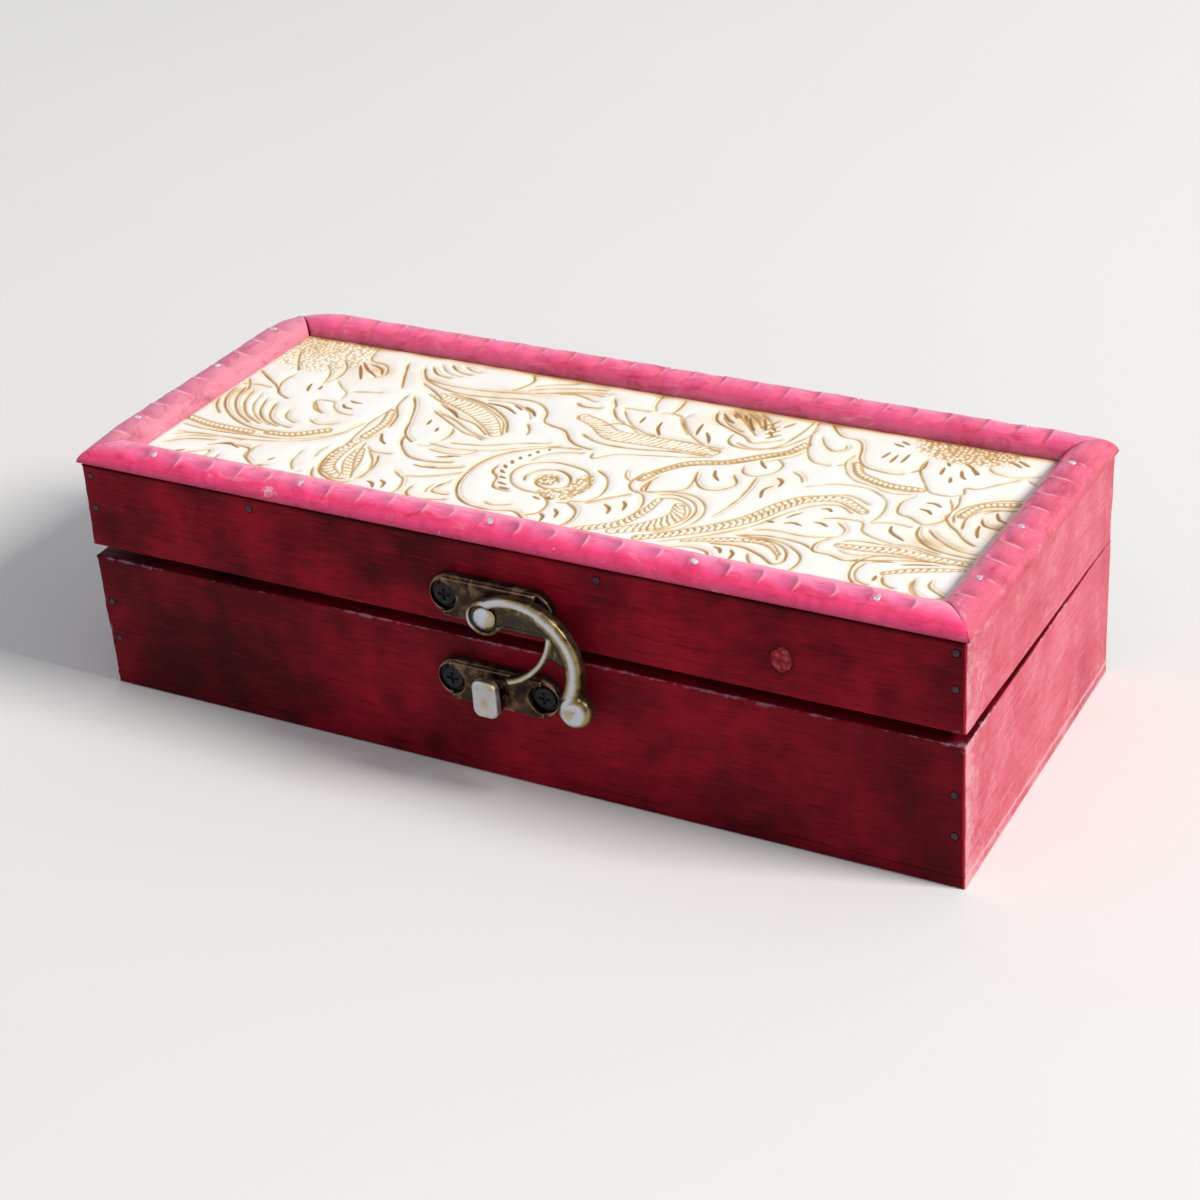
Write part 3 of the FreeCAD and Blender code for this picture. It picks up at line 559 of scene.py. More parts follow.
# Painted shade at the foot of the outer face, darkest at the bottom
SHADED_FOOT = ((0.0, (0.30, 0.010, 0.020)), (0.045, (0.38, 0.012, 0.026)), (0.08, (0.52, 0.040, 0.105)),
        (0.11, (0.66, 0.060, 0.175)))
FRONT_STAIN_AND_LIGHT = SHADED_FOOT + ((0.16, (0.84, 0.064, 0.200)), (0.21, (0.96, 0.064, 0.210)),
                      (0.28, (0.97, 0.062, 0.200)), (0.35, (0.97, 0.130, 0.295)),
                      (0.43, (0.96, 0.235, 0.410)), (0.52, (0.95, 0.300, 0.455)))
BACK_STAIN_AND_LIGHT = SHADED_FOOT + ((0.20, (0.84, 0.064, 0.200)), (0.34, (0.82, 0.175, 0.320)), (0.50, (0.82, 0.215, 0.375)),
                     (0.59, (0.88, 0.160, 0.330)), (0.66, (0.84, 0.112, 0.255)), (0.74, (0.80, 0.096, 0.225)),
                     (0.83, (0.66, 0.110, 0.225)), (0.89, (0.55, 0.115, 0.195)), (0.95, (0.34, 0.090, 0.110)),
                     (1.0, (0.16, 0.050, 0.045)))
RIGHT_STAIN_AND_LIGHT = ((0.0, (0.30, 0.015, 0.030)), (0.05, (0.46, 0.040, 0.078)), (0.12, (0.51, 0.062, 0.105)),
               (0.20, (0.58, 0.102, 0.165)), (0.28, (0.61, 0.104, 0.172)), (0.35, (0.66, 0.115, 0.195)),
               (0.43, (0.67, 0.120, 0.205)), (0.50, (0.73, 0.140, 0.250)), (0.60, (0.78, 0.160, 0.290)),
               (0.90, (0.76, 0.170, 0.290)), (1.0, (0.40, 0.080, 0.100)))
LEFT_STAIN_AND_LIGHT = SHADED_FOOT + ((0.20, (0.76, 0.090, 0.200)), (0.36, (0.76, 0.155, 0.290)), (0.50, (0.72, 0.200, 0.310)),
                     (0.62, (0.66, 0.222, 0.305)), (0.90, (0.64, 0.215, 0.285)), (1.0, (0.40, 0.120, 0.140)))
# After each stain: the painted shade of the dips, the painted highlight of the lips, and the colour of wear
front_pink = moulding_look("moulding_stain_and_light_front", 0, FRONT_STAIN_AND_LIGHT, (0.66, 0.100, 0.260), (0.97, 0.340, 0.500),
                           CHALK)
back_pink = moulding_look("moulding_stain_and_light_back", 0, BACK_STAIN_AND_LIGHT, (0.95, 0.110, 0.200), (0.95, 0.250, 0.360),
                          CHALK)
right_pink = moulding_look("moulding_stain_and_light_right", 1, RIGHT_STAIN_AND_LIGHT, (0.46, 0.078, 0.135), (0.66, 0.310, 0.380),
                           (0.80, 0.56, 0.62))
left_pink = moulding_look("moulding_stain_and_light_left", 1, LEFT_STAIN_AND_LIGHT, (0.58, 0.160, 0.250), (0.74, 0.400, 0.480),
                          CHALK)
# Half length and half width of the lid's outline as seen from a side, and its pins with their inset
OUT_X, OUT_Y = HALF_X + OVERHANG, HALF_Y + OVERHANG
LONG_SIDE = OUT_X, OUT_Y, (-83.6, -45.6, 0, 45.6, 83.6), 2.4
SHORT_SIDE = OUT_Y, OUT_X, (-26.6, -3.8, 26.6), 4.0
moulding("moulding_front", 0, *LONG_SIDE, dict(centre=-1.5, wide=2.2, steep=1, sharp=1.8), deep=0.6,
         look=front_pink, seed=11, scuffs=[(-58, 3.0, 2.2), (-52.5, 0.6, 3.2)])
moulding("moulding_right", 1, *SHORT_SIDE, dict(centre=-0.5, wide=3.1, steep=-1, sharp=3.6), deep=0.95,
         look=right_pink, seed=12)
moulding("moulding_back", 2, *LONG_SIDE, dict(centre=0.4, wide=2.8, steep=-1, sharp=2.6), deep=0.75,
         look=back_pink, seed=13)
moulding("moulding_left", 3, *SHORT_SIDE, dict(centre=0.0, wide=3.0, steep=1, sharp=3.4), deep=0.9,
         look=left_pink, seed=14)

# Pin heads are stacks of rings, given as share of the radius and height
PIN_RADIUS, PIN_SIDES = 0.74, 16
PIN_RINGS = ((0.2, -0.6), (1.0, -0.5), (1.0, 0.0), (0.8, 0.06), (0.3, 0.09))
PIN_POINTS = PIN_SIDES * len(PIN_RINGS)


def pin_head(place, inset, half_width, quarters, random):
    """Points of one bent pin head, lying on the slope of the moulding."""
    lean = math.asin((inset - MOULD_WIDTH / 2) / CROWN)
    rise = MOULD_HEIGHT - CROWN + CROWN * math.cos(lean)
    around = np.linspace(0, 2 * np.pi, PIN_SIDES, endpoint=False)
    uneven = 1 + 0.16 * np.sin(2 * around + random.uniform(0, 6))
    ragged = PIN_RADIUS * (uneven + 0.1 * np.sin(3 * around + random.uniform(0, 6)))
    rings = []
    for share, out in PIN_RINGS:
        side = share * ragged * np.sin(around)
        rows = [place + share * ragged * np.cos(around),
                inset + side * math.cos(lean) + out * math.sin(lean),
                rise - side * math.sin(lean) + out * math.cos(lean)]
        rings.append(np.stack(rows, 1) + [0, -half_width, LID_TOP])
    return quarter(np.vstack(rings), quarters)


def pin_faces(first):
    """Faces of a pin head whose points are numbered from the first."""
    index = first + np.arange(PIN_POINTS).reshape(-1, PIN_SIDES)
    near, far = index[:-1], index[1:]
    walls = np.stack([near, np.roll(near, -1, 1), np.roll(far, -1, 1), far], -1).reshape(-1, 4).tolist()
    return walls + [index[0][::-1].tolist(), index[-1].tolist()]


heads, head_faces = [], []
bent = np.random.default_rng(21)
for quarters in range(4):
    _, half_width, pins, inset = SHORT_SIDE if quarters % 2 else LONG_SIDE
    for place in pins:
        head_faces += pin_faces(PIN_POINTS * len(heads))
        heads.append(pin_head(place, inset + OVERHANG, half_width, quarters, bent))


# Tooled leather: cut lines of scroll leaves, laid out in millimetres from the sheet's back left corner
SHEET_X = 2 * (HALF_X + OVERHANG - MOULD_WIDTH)
SHEET_Y = 2 * (HALF_Y + OVERHANG - MOULD_WIDTH)
CUTS = [
    # flower at the back left
    [(3, 8), (5.5, 13), (9.5, 19)], [(20, 1), (22, 7), (27, 8.6), (29.6, 13), (27.5, 16.3)],
    [(15, 8), (19, 13), (20, 19), (17.5, 23)], [(20.5, 19.5), (24, 23), (26.6, 25.2), (27.4, 29.5)],
    [(27, 24.3), (31, 23), (35.5, 21.8)], [(0, 21), (4, 24), (9.6, 28), (12.3, 31), (16.5, 33.2)],
    # ribbed scroll
    [(0.3, 31), (1.8, 37), (5, 42), (10, 46), (16, 48.6), (23, 49), (29.5, 47)],
    [(2.5, 30), (4.5, 37), (9, 43), (15.5, 47.2)], [(5.5, 31.5), (7.5, 38), (12, 43.5), (18.5, 47)],
    [(8.3, 32), (10.5, 39), (15, 44), (21, 46.8)], [(11, 34), (13.5, 40.5), (17.5, 44.5), (23, 46.5)],
    [(14.5, 35), (16.5, 41), (20, 44.5), (26, 46)], [(0, 37.5), (2.5, 42), (6, 45.5)],
    [(19.5, 37.5), (21, 41.3), (25.5, 43.6)], [(26, 40), (30, 41.8), (35, 39.5)],
    [(28.5, 37), (24.3, 34.8), (22.5, 31), (26.5, 30.3), (28, 32.5), (31, 34.8), (35.5, 35.3)],
    # stem and lobes at the front left
    [(0, 52.5), (8, 53.2), (18, 52.4), (28, 50.8), (36, 45.5), (40, 37)], [(3, 60), (7, 57), (13, 55.8)],
    [(12, 60.5), (16, 58), (22.5, 58), (23.8, 61.5), (28, 64.6)], [(34.2, 54), (35.2, 60), (38.2, 64.2)],
    [(38.5, 50), (38, 54), (39, 57)], [(18, 62.5), (18.6, 66), (20, 68)],
    [(7.5, 68), (11, 64.5), (15, 62.2), (15.2, 68)], [(31, 5), (34.2, 12), (37.6, 19)],
    # long stem with the pod leaf
    [(36, 6), (39.5, 11.2), (45, 14.6), (52, 16), (60, 15), (67, 13.6), (71.5, 14.6), (75, 18), (76.5, 22),
     (79, 23.4), (83, 24.6), (86.5, 28.5), (89.5, 30.3), (94, 31.2)],
    [(39, 11.5), (46, 13), (55, 12.6), (64, 11), (72, 8), (79, 5.6), (83.5, 6)],
    [(85, 5), (87.5, 9), (88, 11), (91, 15), (94.5, 17)], [(40, 13.8), (45, 17), (50, 20.8)],
    [(50, 25.8), (55, 29), (59, 31.5), (63, 33.8), (66.5, 34.5), (69.3, 36.2)],
    [(73.2, 24), (75.5, 27), (76.6, 30.4)], [(62, 1), (63.8, 4), (63, 8), (61, 11)],
    [(78, 10.4), (81, 12), (86, 11.4)],
    # drop leaf and long leaf
    [(42.2, 21), (45.5, 26), (48.5, 33), (51, 39), (55.2, 42.6)], [(59, 31.5), (60.6, 35.5), (60.2, 40)],
    [(51, 38.5), (52.5, 43), (55.3, 46.5), (58.5, 48.8), (63.5, 49), (69, 47.4)],
    [(59, 43.8), (64.5, 44.2), (69, 43), (70.5, 40)], [(40.6, 20.5), (41.5, 27), (44.5, 32), (46, 38.5)],
    [(41, 28), (40.5, 38), (41.5, 48), (41, 55), (42.5, 60), (46, 63.4), (51.5, 63)],
    [(45, 45.5), (47, 53), (49.8, 58.5), (52, 63)], [(46, 47), (49, 49.2), (54.5, 48.9)],
    [(51, 50), (53, 54.5), (53.6, 62)],
    [(41, 60.5), (43.5, 64.6), (48.5, 66.5), (53, 65.2), (57.5, 67), (62, 67.2), (64, 63.5), (62.6, 58.8),
     (60.6, 57.2), (58, 55.2)], [(60.8, 57.4), (66, 55.6), (70, 53), (73.4, 50.4)],
    [(66, 60), (66.4, 63.6), (69.5, 65.4), (76.8, 63.2)], [(72.6, 54.6), (71, 60.8), (76.2, 61.4)],
    [(70, 57.5), (69.6, 60), (70.2, 63)],
    # spiral
    [(92, 31.5), (85, 33), (79, 37), (75, 42), (73.6, 49), (74.6, 56), (77.4, 61), (81.5, 63.6), (87, 64),
     (91.4, 62.8), (94, 64), (96.2, 66.2), (97.6, 68)],
    [(94, 64), (96.8, 61.5), (96.6, 57), (93.2, 53.8), (88.8, 53.4), (84.8, 51.2), (82.5, 46.5), (84, 42),
     (88.5, 39.5), (94, 39.8), (98, 41.5), (100.3, 46), (100.2, 50.5), (97.8, 54.2)],
    [(87.2, 50.2), (86, 46.8), (88, 43.6), (92, 42.6), (95.6, 45), (96.2, 49), (93, 51), (89.6, 49.4),
     (89.8, 46.4), (92.4, 45.6), (93.4, 47.6)],
    [(98.5, 39), (102.6, 42), (105, 47.5), (104, 53), (100.3, 54.8), (104, 58.5), (104.6, 63.5), (102, 67)],
    [(78, 44.6), (78.4, 48), (80.6, 50.2), (82.2, 54.4), (87.2, 55.4)],
    [(83, 60.8), (86.2, 61.8), (90.5, 60)],
    # lobes and tulip at the back
    [(95, 0), (95.8, 5.5), (97.6, 9.2)], [(103.3, 8.8), (106.5, 13.5), (109.8, 17.6)],
    [(94, 16.4), (97, 18.6), (99.6, 20.8)], [(115, 19.4), (117, 21.3), (120, 22)],
    [(93.8, 31.8), (95.3, 34.6), (99, 31.2), (106, 29), (113, 27), (119.5, 24.3)],
    [(110, 3.5), (112, 8), (117, 11), (120.8, 13), (123.6, 15.2), (126.5, 13.6), (130, 11)],
    [(118.2, 12.4), (118.2, 15.6), (120.6, 18), (125.5, 18), (129.5, 15), (131.2, 9), (132, 1)],
    [(133, 0.5), (134, 7), (135, 10.5), (136.5, 15), (139.5, 19), (144.5, 19.8)],
    [(136, 0.5), (140, 5), (144.5, 6), (146.6, 9.4), (148, 14), (150.4, 17), (153.6, 18), (157.6, 18.2),
     (160, 17)], [(136, 6.5), (139, 11), (141.6, 12.6), (143.4, 10.6), (142.4, 8.6)],
    [(146.8, 12), (146, 16.2), (147.4, 20), (150.6, 23.6), (155.4, 25), (160, 26.6), (165.6, 25.4)],
    # flower at the back right
    [(161.2, 9.5), (161.8, 14.5), (164.6, 19.5), (167.6, 23.4), (171.8, 23.4), (174, 21.6), (173.4, 19),
     (176, 18.4), (180, 14), (183, 11)], [(174, 7.6), (176.6, 10.2), (181, 10.6), (187, 8)],
    [(183.4, 10.8), (187.4, 13)],
    [(165.6, 25.6), (163.8, 29.6), (164.8, 34.2), (168, 35.4), (171.6, 37.2), (174.4, 34.4), (174.4, 29),
     (172, 24.2)],
    [(173.6, 22), (174.8, 27), (174.4, 32), (176.2, 35.2), (178.6, 37.4), (181.4, 40.4), (185, 42.6)],
    [(177, 35), (175.6, 30), (178, 25), (182.6, 21.5), (187.4, 20)],
    [(179.4, 37), (178.4, 31), (181.2, 26.6), (187.4, 24.6)], [(181, 30), (183, 33.2), (187.4, 34)],
    # diagonal leaf with its lobes
    [(131.6, 29.5), (132.4, 37), (132, 44), (130.4, 51)],
    [(142, 31), (148, 27), (155, 26.4), (160.4, 30), (162, 35.6), (161.2, 41)],
    [(150.8, 42.8), (154.6, 41), (159.8, 40.8), (161.4, 44.4), (166, 46.6), (173, 47.4), (180, 48.6),
     (187.4, 48.4)], [(155, 42.4), (158, 45.4), (157, 48.8), (151.4, 50.6), (144.6, 50.6), (140, 52.4)],
    [(157, 49), (155, 52.4), (155.6, 55.6), (159.4, 56), (163, 57), (166, 55)],
    [(118.8, 31.6), (120.4, 36), (123.4, 39), (127, 38.4), (129, 34.6), (126.4, 30.4)],
    [(126.8, 26), (128, 29), (131, 29.8), (134, 27), (134.4, 23), (132, 20.4)],
    [(137, 24.6), (140, 26.5), (141.8, 29.5)],
    # oval leaf
    [(112.8, 45.4), (117.6, 43), (123.4, 42.8), (127.6, 46.4), (128.8, 52), (126.6, 57.6), (121.4, 62)],
    [(116, 46.8), (120.6, 45.4), (124.8, 48), (126.2, 52.4), (124, 57.2), (119, 61)],
    [(110, 44.4), (113.6, 46.8), (115.4, 51.4), (114.6, 57), (112, 60)],
    [(104.6, 36.4), (106, 40), (109, 42)], [(109, 36.2), (108.2, 42), (110, 45), (113, 46)],
    [(111.8, 39), (112.4, 43), (113.4, 45)],
    # hooked leaf at the front
    [(120, 65), (123, 67.2), (127, 66), (131, 63.6), (136, 63.8), (138.2, 67)],
    [(134.6, 60.6), (141.4, 59.4), (146.6, 61.2), (150.4, 63.6), (152, 61.6), (150.6, 57.6), (146.8, 55.2),
     (140.6, 55.6)], [(140, 57.2), (145.6, 57), (149.4, 59.6), (151, 62.6)],
    [(143.8, 61), (146, 64.6), (150, 66.8), (152.2, 67.8), (154.6, 64.4), (154.8, 60), (152.6, 57),
     (147, 54.4), (138, 55.4)],
    # leaf running off to the right
    [(171, 37.4), (172, 42), (175.8, 45.6), (181, 47), (187.4, 47.2)],
    [(172.8, 38.4), (176.8, 42.2), (182, 45), (187.4, 45.4)],
    [(183.4, 51), (175, 51.4), (168.2, 52.8), (165.4, 57), (166, 62), (168, 64.8), (170, 66), (174, 65.4),
     (177, 66.6), (180, 64)], [(178.6, 58.4), (178.4, 61), (179.8, 64), (184, 66), (187.4, 66)],
    [(181.6, 57.8), (182.2, 61), (187.4, 64.4)],
    # second outlines, folds and fine strokes
    [(60.2, 40), (58.4, 42.4), (55.2, 42.8)], [(57.5, 41), (65, 41.6), (73, 39.2), (80, 34.6), (87, 31.4)],
    [(61.5, 52), (67, 51), (72.4, 48.4)], [(28, 64.6), (31.8, 63.6)], [(38.2, 64.2), (40.4, 63.4)],
    [(1, 56.5), (8, 55.6), (17, 54.6), (26, 52.8), (34, 48.6), (39, 42)], [(37.5, 5), (41, 8.6), (46, 9.6)],
    [(38.6, 3), (43, 7), (48, 8)], [(41, 2.4), (45, 5.6), (49.6, 6.4)], [(44.4, 2), (47.6, 4), (51, 4.4)],
    [(64, 9.4), (70, 6), (77, 3.4), (83, 2.6)], [(66, 10), (73, 7), (80, 4.4), (85, 4)],
    [(64.6, 7), (69, 4), (75, 1.6)], [(71.7, 8.6), (76.7, 7.1), (83.3, 9.2)],
    [(58, 17), (65, 16.2), (70.4, 18.6), (73.6, 23)], [(0, 29.4), (5, 28.6), (9.4, 29)],
    [(9.6, 20), (9.2, 25), (10.6, 29)], [(83.4, 41.5), (84.6, 37), (88.6, 34.2), (93.4, 33)],
    [(101, 1), (101.4, 5), (101, 9)], [(97.6, 9.2), (101, 8.2), (104.4, 9.6), (108, 15.8)],
    [(113, 2), (117, 5.4), (121, 9.6), (123.4, 12.6)], [(116, 1.6), (120, 4.6), (123.6, 9)],
    [(119, 1), (122.4, 3.6), (125.6, 7.6)], [(111.6, 5), (115.6, 9), (120.4, 11.6)],
    [(160.4, 41), (165, 39), (170.8, 39.4)], [(163.6, 57), (168, 55), (174, 52.6), (181, 50.8), (187, 50.4)],
    [(112.6, 37), (111.6, 41), (112.2, 44.6), (116.4, 43.2), (120.2, 40.6), (119.8, 34)],
    [(43, 62), (42, 55), (43.6, 47), (46, 40)], [(52, 26.6), (57, 28.4), (63, 32.2), (69.6, 35.2)],
    [(50, 17.6), (57, 18.6), (63.6, 22), (68.4, 26), (71.6, 32.6)],
    [(120, 20.4), (113, 20), (104, 20.2), (96, 19.4)],
    [(87, 24.6), (93, 27.4), (101, 27.4), (110, 25.4), (118, 24.6)],
    [(122, 61), (131.6, 53.4), (138.6, 46), (142.8, 38.4), (147.4, 33), (153, 30.8), (159, 33.6)],
    [(124.6, 64), (133, 58), (140.4, 50), (144.6, 42), (148.6, 37.2), (153, 35.8), (157, 38.6)],
    [(22.3, 31.2), (25, 34.6), (28, 36.8)], [(62, 39.6), (70, 37.8), (77, 34), (84, 31.2)],
    [(24, 55), (23.4, 58.5), (25, 62.5), (28.8, 64.8), (32, 62.8)],
    [(1, 58.5), (6, 56), (13, 55), (20, 54.6)], [(1.6, 63), (7, 58.8), (14, 57)],
    [(0.4, 26), (3, 29.5), (4.4, 33)], [(13, 12), (17, 17), (19, 23.5)], [(88.7, 9.4), (93, 9.2), (97, 9)],
    [(90, 10), (94.4, 15.6), (99.4, 19), (103.6, 20)],
    [(105.6, 6.6), (104.8, 10.2), (108.6, 15.4), (112.2, 18.6), (116.2, 20.8)],
    [(160, 17), (162, 13.6), (161.4, 9)], [(144.5, 19.8), (146.6, 17.2)],
    [(139, 55), (145, 53.2), (152, 53.6), (156, 55.6)],
    [(97, 56.2), (101, 55.6), (104, 58.4), (104.4, 63.4), (101.6, 67), (97.6, 67.6)],
    [(103.4, 55), (106.6, 50.8), (111.4, 46.4)], [(166, 67.6), (170, 66), (174.5, 67.4)],
    [(178.3, 58.4), (179.4, 62.6), (182.6, 65.6), (187, 63.6)], [(88.6, 20), (93, 17), (98.6, 18.4)],
    [(44, 18.4), (51.4, 22.6), (57.2, 27), (63, 29), (68.8, 33.6)],
    [(48.4, 16.6), (56.4, 17.8), (63, 20.4), (68.6, 25), (72, 31)],
    [(40.6, 49), (41.4, 57), (44, 62.4), (49.6, 64.8), (53.2, 63.4)],
    [(47.4, 48.4), (51.6, 53.4), (53.4, 58.6), (52.6, 63.2)],
    [(134.2, 3), (133.4, 9), (130, 15.4), (124.6, 17.6), (119.6, 16)],
    [(134.6, 14.6), (130.4, 20), (125.2, 24.6), (118.2, 28.6), (112.8, 32.6), (110.2, 38)],
    [(136.8, 13.4), (134, 19), (129.2, 23.4)], [(166.4, 47.8), (172.6, 46.6), (180, 48)],
    [(158.6, 50.2), (161.6, 48.6), (166, 48.2), (172, 47.8)],
    [(159, 53), (163, 54.2), (168, 52.6), (174, 51.4)],
    [(115.6, 45.4), (119.6, 43.8), (124.4, 45.4), (127, 50), (126, 56), (121.6, 60.8)],
    [(172, 59.8), (173.6, 63), (177, 64.4)], [(167.2, 56), (166.6, 60), (168.2, 63.6), (172, 65)],
    [(180.2, 28.8), (183.4, 25.8), (187.2, 25)],
]
# Short filled strokes
MARKS = [
    [(21.3, 9.2), (24.5, 12.6), (28.2, 15)], [(21.4, 11), (23.8, 14.6), (26, 18)],
    [(23.5, 9.6), (27, 10.8), (29, 13.6)], [(16.5, 24), (17, 26), (18, 28)],
    [(30.2, 28.8), (31.8, 29.4), (33.6, 29.4)], [(29.6, 31), (31, 32.3), (33.2, 32.7)],
    [(14, 58.8), (17, 57.4), (20.5, 59)], [(60, 18.2), (65, 19), (69, 21.4)], [(66, 16.6), (69.2, 19)],
    [(69, 17), (71.6, 18.6), (73.6, 20.8)], [(50.5, 22.8), (55, 25), (57.6, 27.4)], [(56.4, 34), (57, 36)],
    [(46.2, 41), (48, 44), (50, 45.6)], [(56, 62.4), (57.6, 63), (58.8, 64.8)],
    [(58.4, 61), (60, 62), (60.6, 64.2)], [(61, 51.8), (63, 51.9), (66, 51)], [(63.6, 46.8), (67, 45.6)],
    [(82, 52.2), (84.6, 53)], [(83.4, 54.2), (86, 54.4)], [(84.4, 34), (85, 34.9)], [(82.6, 36), (83.3, 37)],
    [(81.8, 38), (82.4, 39)], [(80.6, 40), (81.4, 41.2)], [(79.8, 42.2), (80.8, 43.6)],
    [(79.4, 44.6), (80.6, 46)], [(79.8, 47), (81.4, 48.2)], [(81, 49.6), (83, 50.4)],
    [(101.2, 13.4), (101.8, 16.6), (103.6, 19.4)], [(110, 11), (110.4, 14), (111, 16.4)],
    [(112.6, 14.6), (114, 16.6), (115.2, 19)], [(96.6, 12.4), (96.8, 15.4)],
    [(112, 4.4), (114, 6.6), (116, 8)], [(114, 3.4), (115.6, 5.4)], [(121, 3), (122.6, 6), (124, 9)],
    [(118, 4), (119.5, 7), (121.6, 9.6)], [(124, 6.2), (126, 8.4)], [(125, 9), (126.4, 11)],
    [(152.2, 5), (154.8, 6)], [(153, 9.4), (152.4, 12.6)], [(155, 10), (154.8, 14)],
    [(157.2, 8.8), (157, 13.2)], [(153.4, 3.4), (155.5, 4.6)], [(169.4, 8.2), (171.6, 10), (173.6, 13)],
    [(170, 12), (171, 14.4), (172.2, 15.6)], [(166.2, 12), (166.6, 15.4)], [(169, 15.8), (169.8, 18.2)],
    [(166, 9.4), (167, 11)], [(172, 10.4), (174, 12.6)], [(177.2, 4.4), (179, 5), (181, 6.4)],
    [(179.4, 3.4), (182.4, 5.4)], [(168.6, 28.4), (170.6, 28.2), (172.2, 29.2)],
    [(168.4, 31.4), (170.4, 31.8), (171.6, 33)], [(182, 33.6), (182.6, 36.6), (183.6, 39)],
    [(183.4, 27.4), (184.8, 30), (187, 31)], [(136, 29.2), (137.6, 30.4), (138, 33)],
    [(136.8, 33), (135.6, 35.4), (136.6, 39)], [(122.4, 30.6), (123.4, 33), (125.2, 35)],
    [(129.2, 22.4), (130.4, 24.4), (132, 26)], [(147.2, 41.8), (146, 43.4), (145.2, 45)],
    [(145.6, 47.4), (147.4, 46.6), (149.4, 47.2)], [(151, 44.8), (152.6, 44.6), (154.4, 45.6)],
    [(150, 38.8), (151.4, 38.2), (152.6, 39.2)], [(141.8, 47), (143.6, 48)],
    [(108, 53.2), (109.8, 54.6), (110.6, 57)], [(111, 50.6), (112.2, 52), (112.8, 54.4)],
    [(99.4, 59), (100.8, 60.4), (101.4, 62.6)], [(97.4, 61.6), (98.8, 62.8), (99.4, 65.2)],
    [(136.8, 61.6), (138.4, 62.2), (139.4, 63.8)], [(140.6, 61.6), (141.8, 63.2), (142, 65.6)],
    [(166, 40.4), (167, 43), (170.6, 45.4)], [(168, 56), (170, 54.8), (172.4, 54.4)],
    [(173.8, 55), (177.4, 53.4), (181, 52.4)], [(171.2, 60.8), (171.4, 63)], [(79.5, 66.6), (80.6, 68)],
    [(85.4, 67.4), (88, 68)], [(52.8, 31), (53.4, 33.6)], [(19.4, 24.2), (20, 26.4)], [(8, 67.5), (11, 65)],
    [(9.5, 68), (12.5, 65.4)], [(6.6, 66.6), (9.6, 64)], [(124.6, 10.8), (127, 8)],
    [(125.6, 12.4), (128, 9.8)], [(123.2, 9.4), (126, 6)], [(122, 7.6), (125, 3.6)],
    [(127, 6.6), (128.6, 3.4)], [(71.6, 56.8), (71, 59.4)], [(65.4, 45.4), (68.6, 44.6)],
    [(116.4, 3.2), (118.4, 6)], [(30.2, 62), (31, 60.4)], [(95, 54.4), (96.6, 55.4)],
    [(92.4, 55.4), (94.4, 56.4)],
]
# Braided veins: path, half width, and how far the strokes slant to one side
BRAIDS = [
    ([(48, 19), (54.5, 20.8), (61, 23.8), (66, 27.6), (69.8, 32)], 2.3, 0.0),
    ([(42.8, 46), (42.6, 54), (44.2, 59.6), (48, 62.4)], 1.6, 0.0),
    ([(46.2, 50), (47.6, 55), (49.6, 60.4)], 1.8, 0.0),
    ([(121, 64), (131, 56), (138, 48.4), (142, 40.4), (146, 35.4), (152, 33.2), (158.4, 36.8)], 1.7, 0.4),
    ([(117.4, 47), (117, 53), (114, 60.6), (106, 66.6)], 1.2, 0.4),
    ([(122.6, 48), (124, 53), (121, 58.4), (115, 63.4)], 1.9, 0.8),
    ([(159.4, 51.8), (164, 51.4), (171, 49.8), (179, 49.8), (187, 50)], 1.2, 0.4),
    ([(172, 59.4), (178, 55.6), (186, 52.4)], 0.8, 0.2),
    ([(130, 61.6), (138, 58), (145.4, 56), (150, 59.6)], 0.75, 0.5),
    ([(84, 17.5), (89, 19.6), (94, 23), (101, 22.8), (110, 22.4), (118, 22.6)], 2.5, 0.9),
]
# Beaded veins
BEADS = [
    [(135, 12), (133, 17), (128, 21.4), (123, 26), (116, 29.4), (111.6, 35), (109.8, 40)],
    [(148.6, 16.6), (151, 20.8), (155.4, 23), (160, 24), (165.4, 23.4)],
    [(177.4, 31), (179.6, 25.4), (186, 22.4)], [(22, 49.6), (28, 48.6), (34, 44.2)],
    [(0.8, 49.6), (8, 51), (18, 51)], [(42, 30), (44, 37), (43.4, 43.5)],
]
# Stippled grounds and pools of darker finish: centre, radii, strength
DOTS = [
    (9, 7, 13, 12, 0.42), (168, 2.5, 11.5, 7, 0.75), (99, 47.5, 2.6, 6, 0.7), (96, 53, 4.5, 2.4, 0.6),
    (91.6, 47.4, 3.2, 2.6, 0.8),
]
POOLS = [
    (4, 4, 12, 10, 0.30), (2, 36, 5, 8, 0.35), (78, 6, 9, 3, 0.22), (119, 4, 8, 6, 0.6),
    (168, 2, 13, 6, 0.35), (55, 13.6, 10, 2, 0.24), (67, 10.4, 8, 1.8, 0.24), (177, 43, 6, 3, 0.5),
    (186, 34, 3, 9, 0.25), (137.4, 33, 1.4, 3.5, 0.3), (26, 12, 5, 4, 0.3), (11, 43, 8, 5, 0.18),
    (42, 12, 6, 4, 0.16),
]

# Spacing of the relief's points, and a distance beyond every line's reach
GRID, FAR = 0.2, 9.0
# Pitch of the braids' strokes and of the beads; size of the pebbles and of the table that jitters them
BRAID_PITCH, BEAD_PITCH, PEBBLE, JITTER = 1.5, 1.3, 1.15, 64
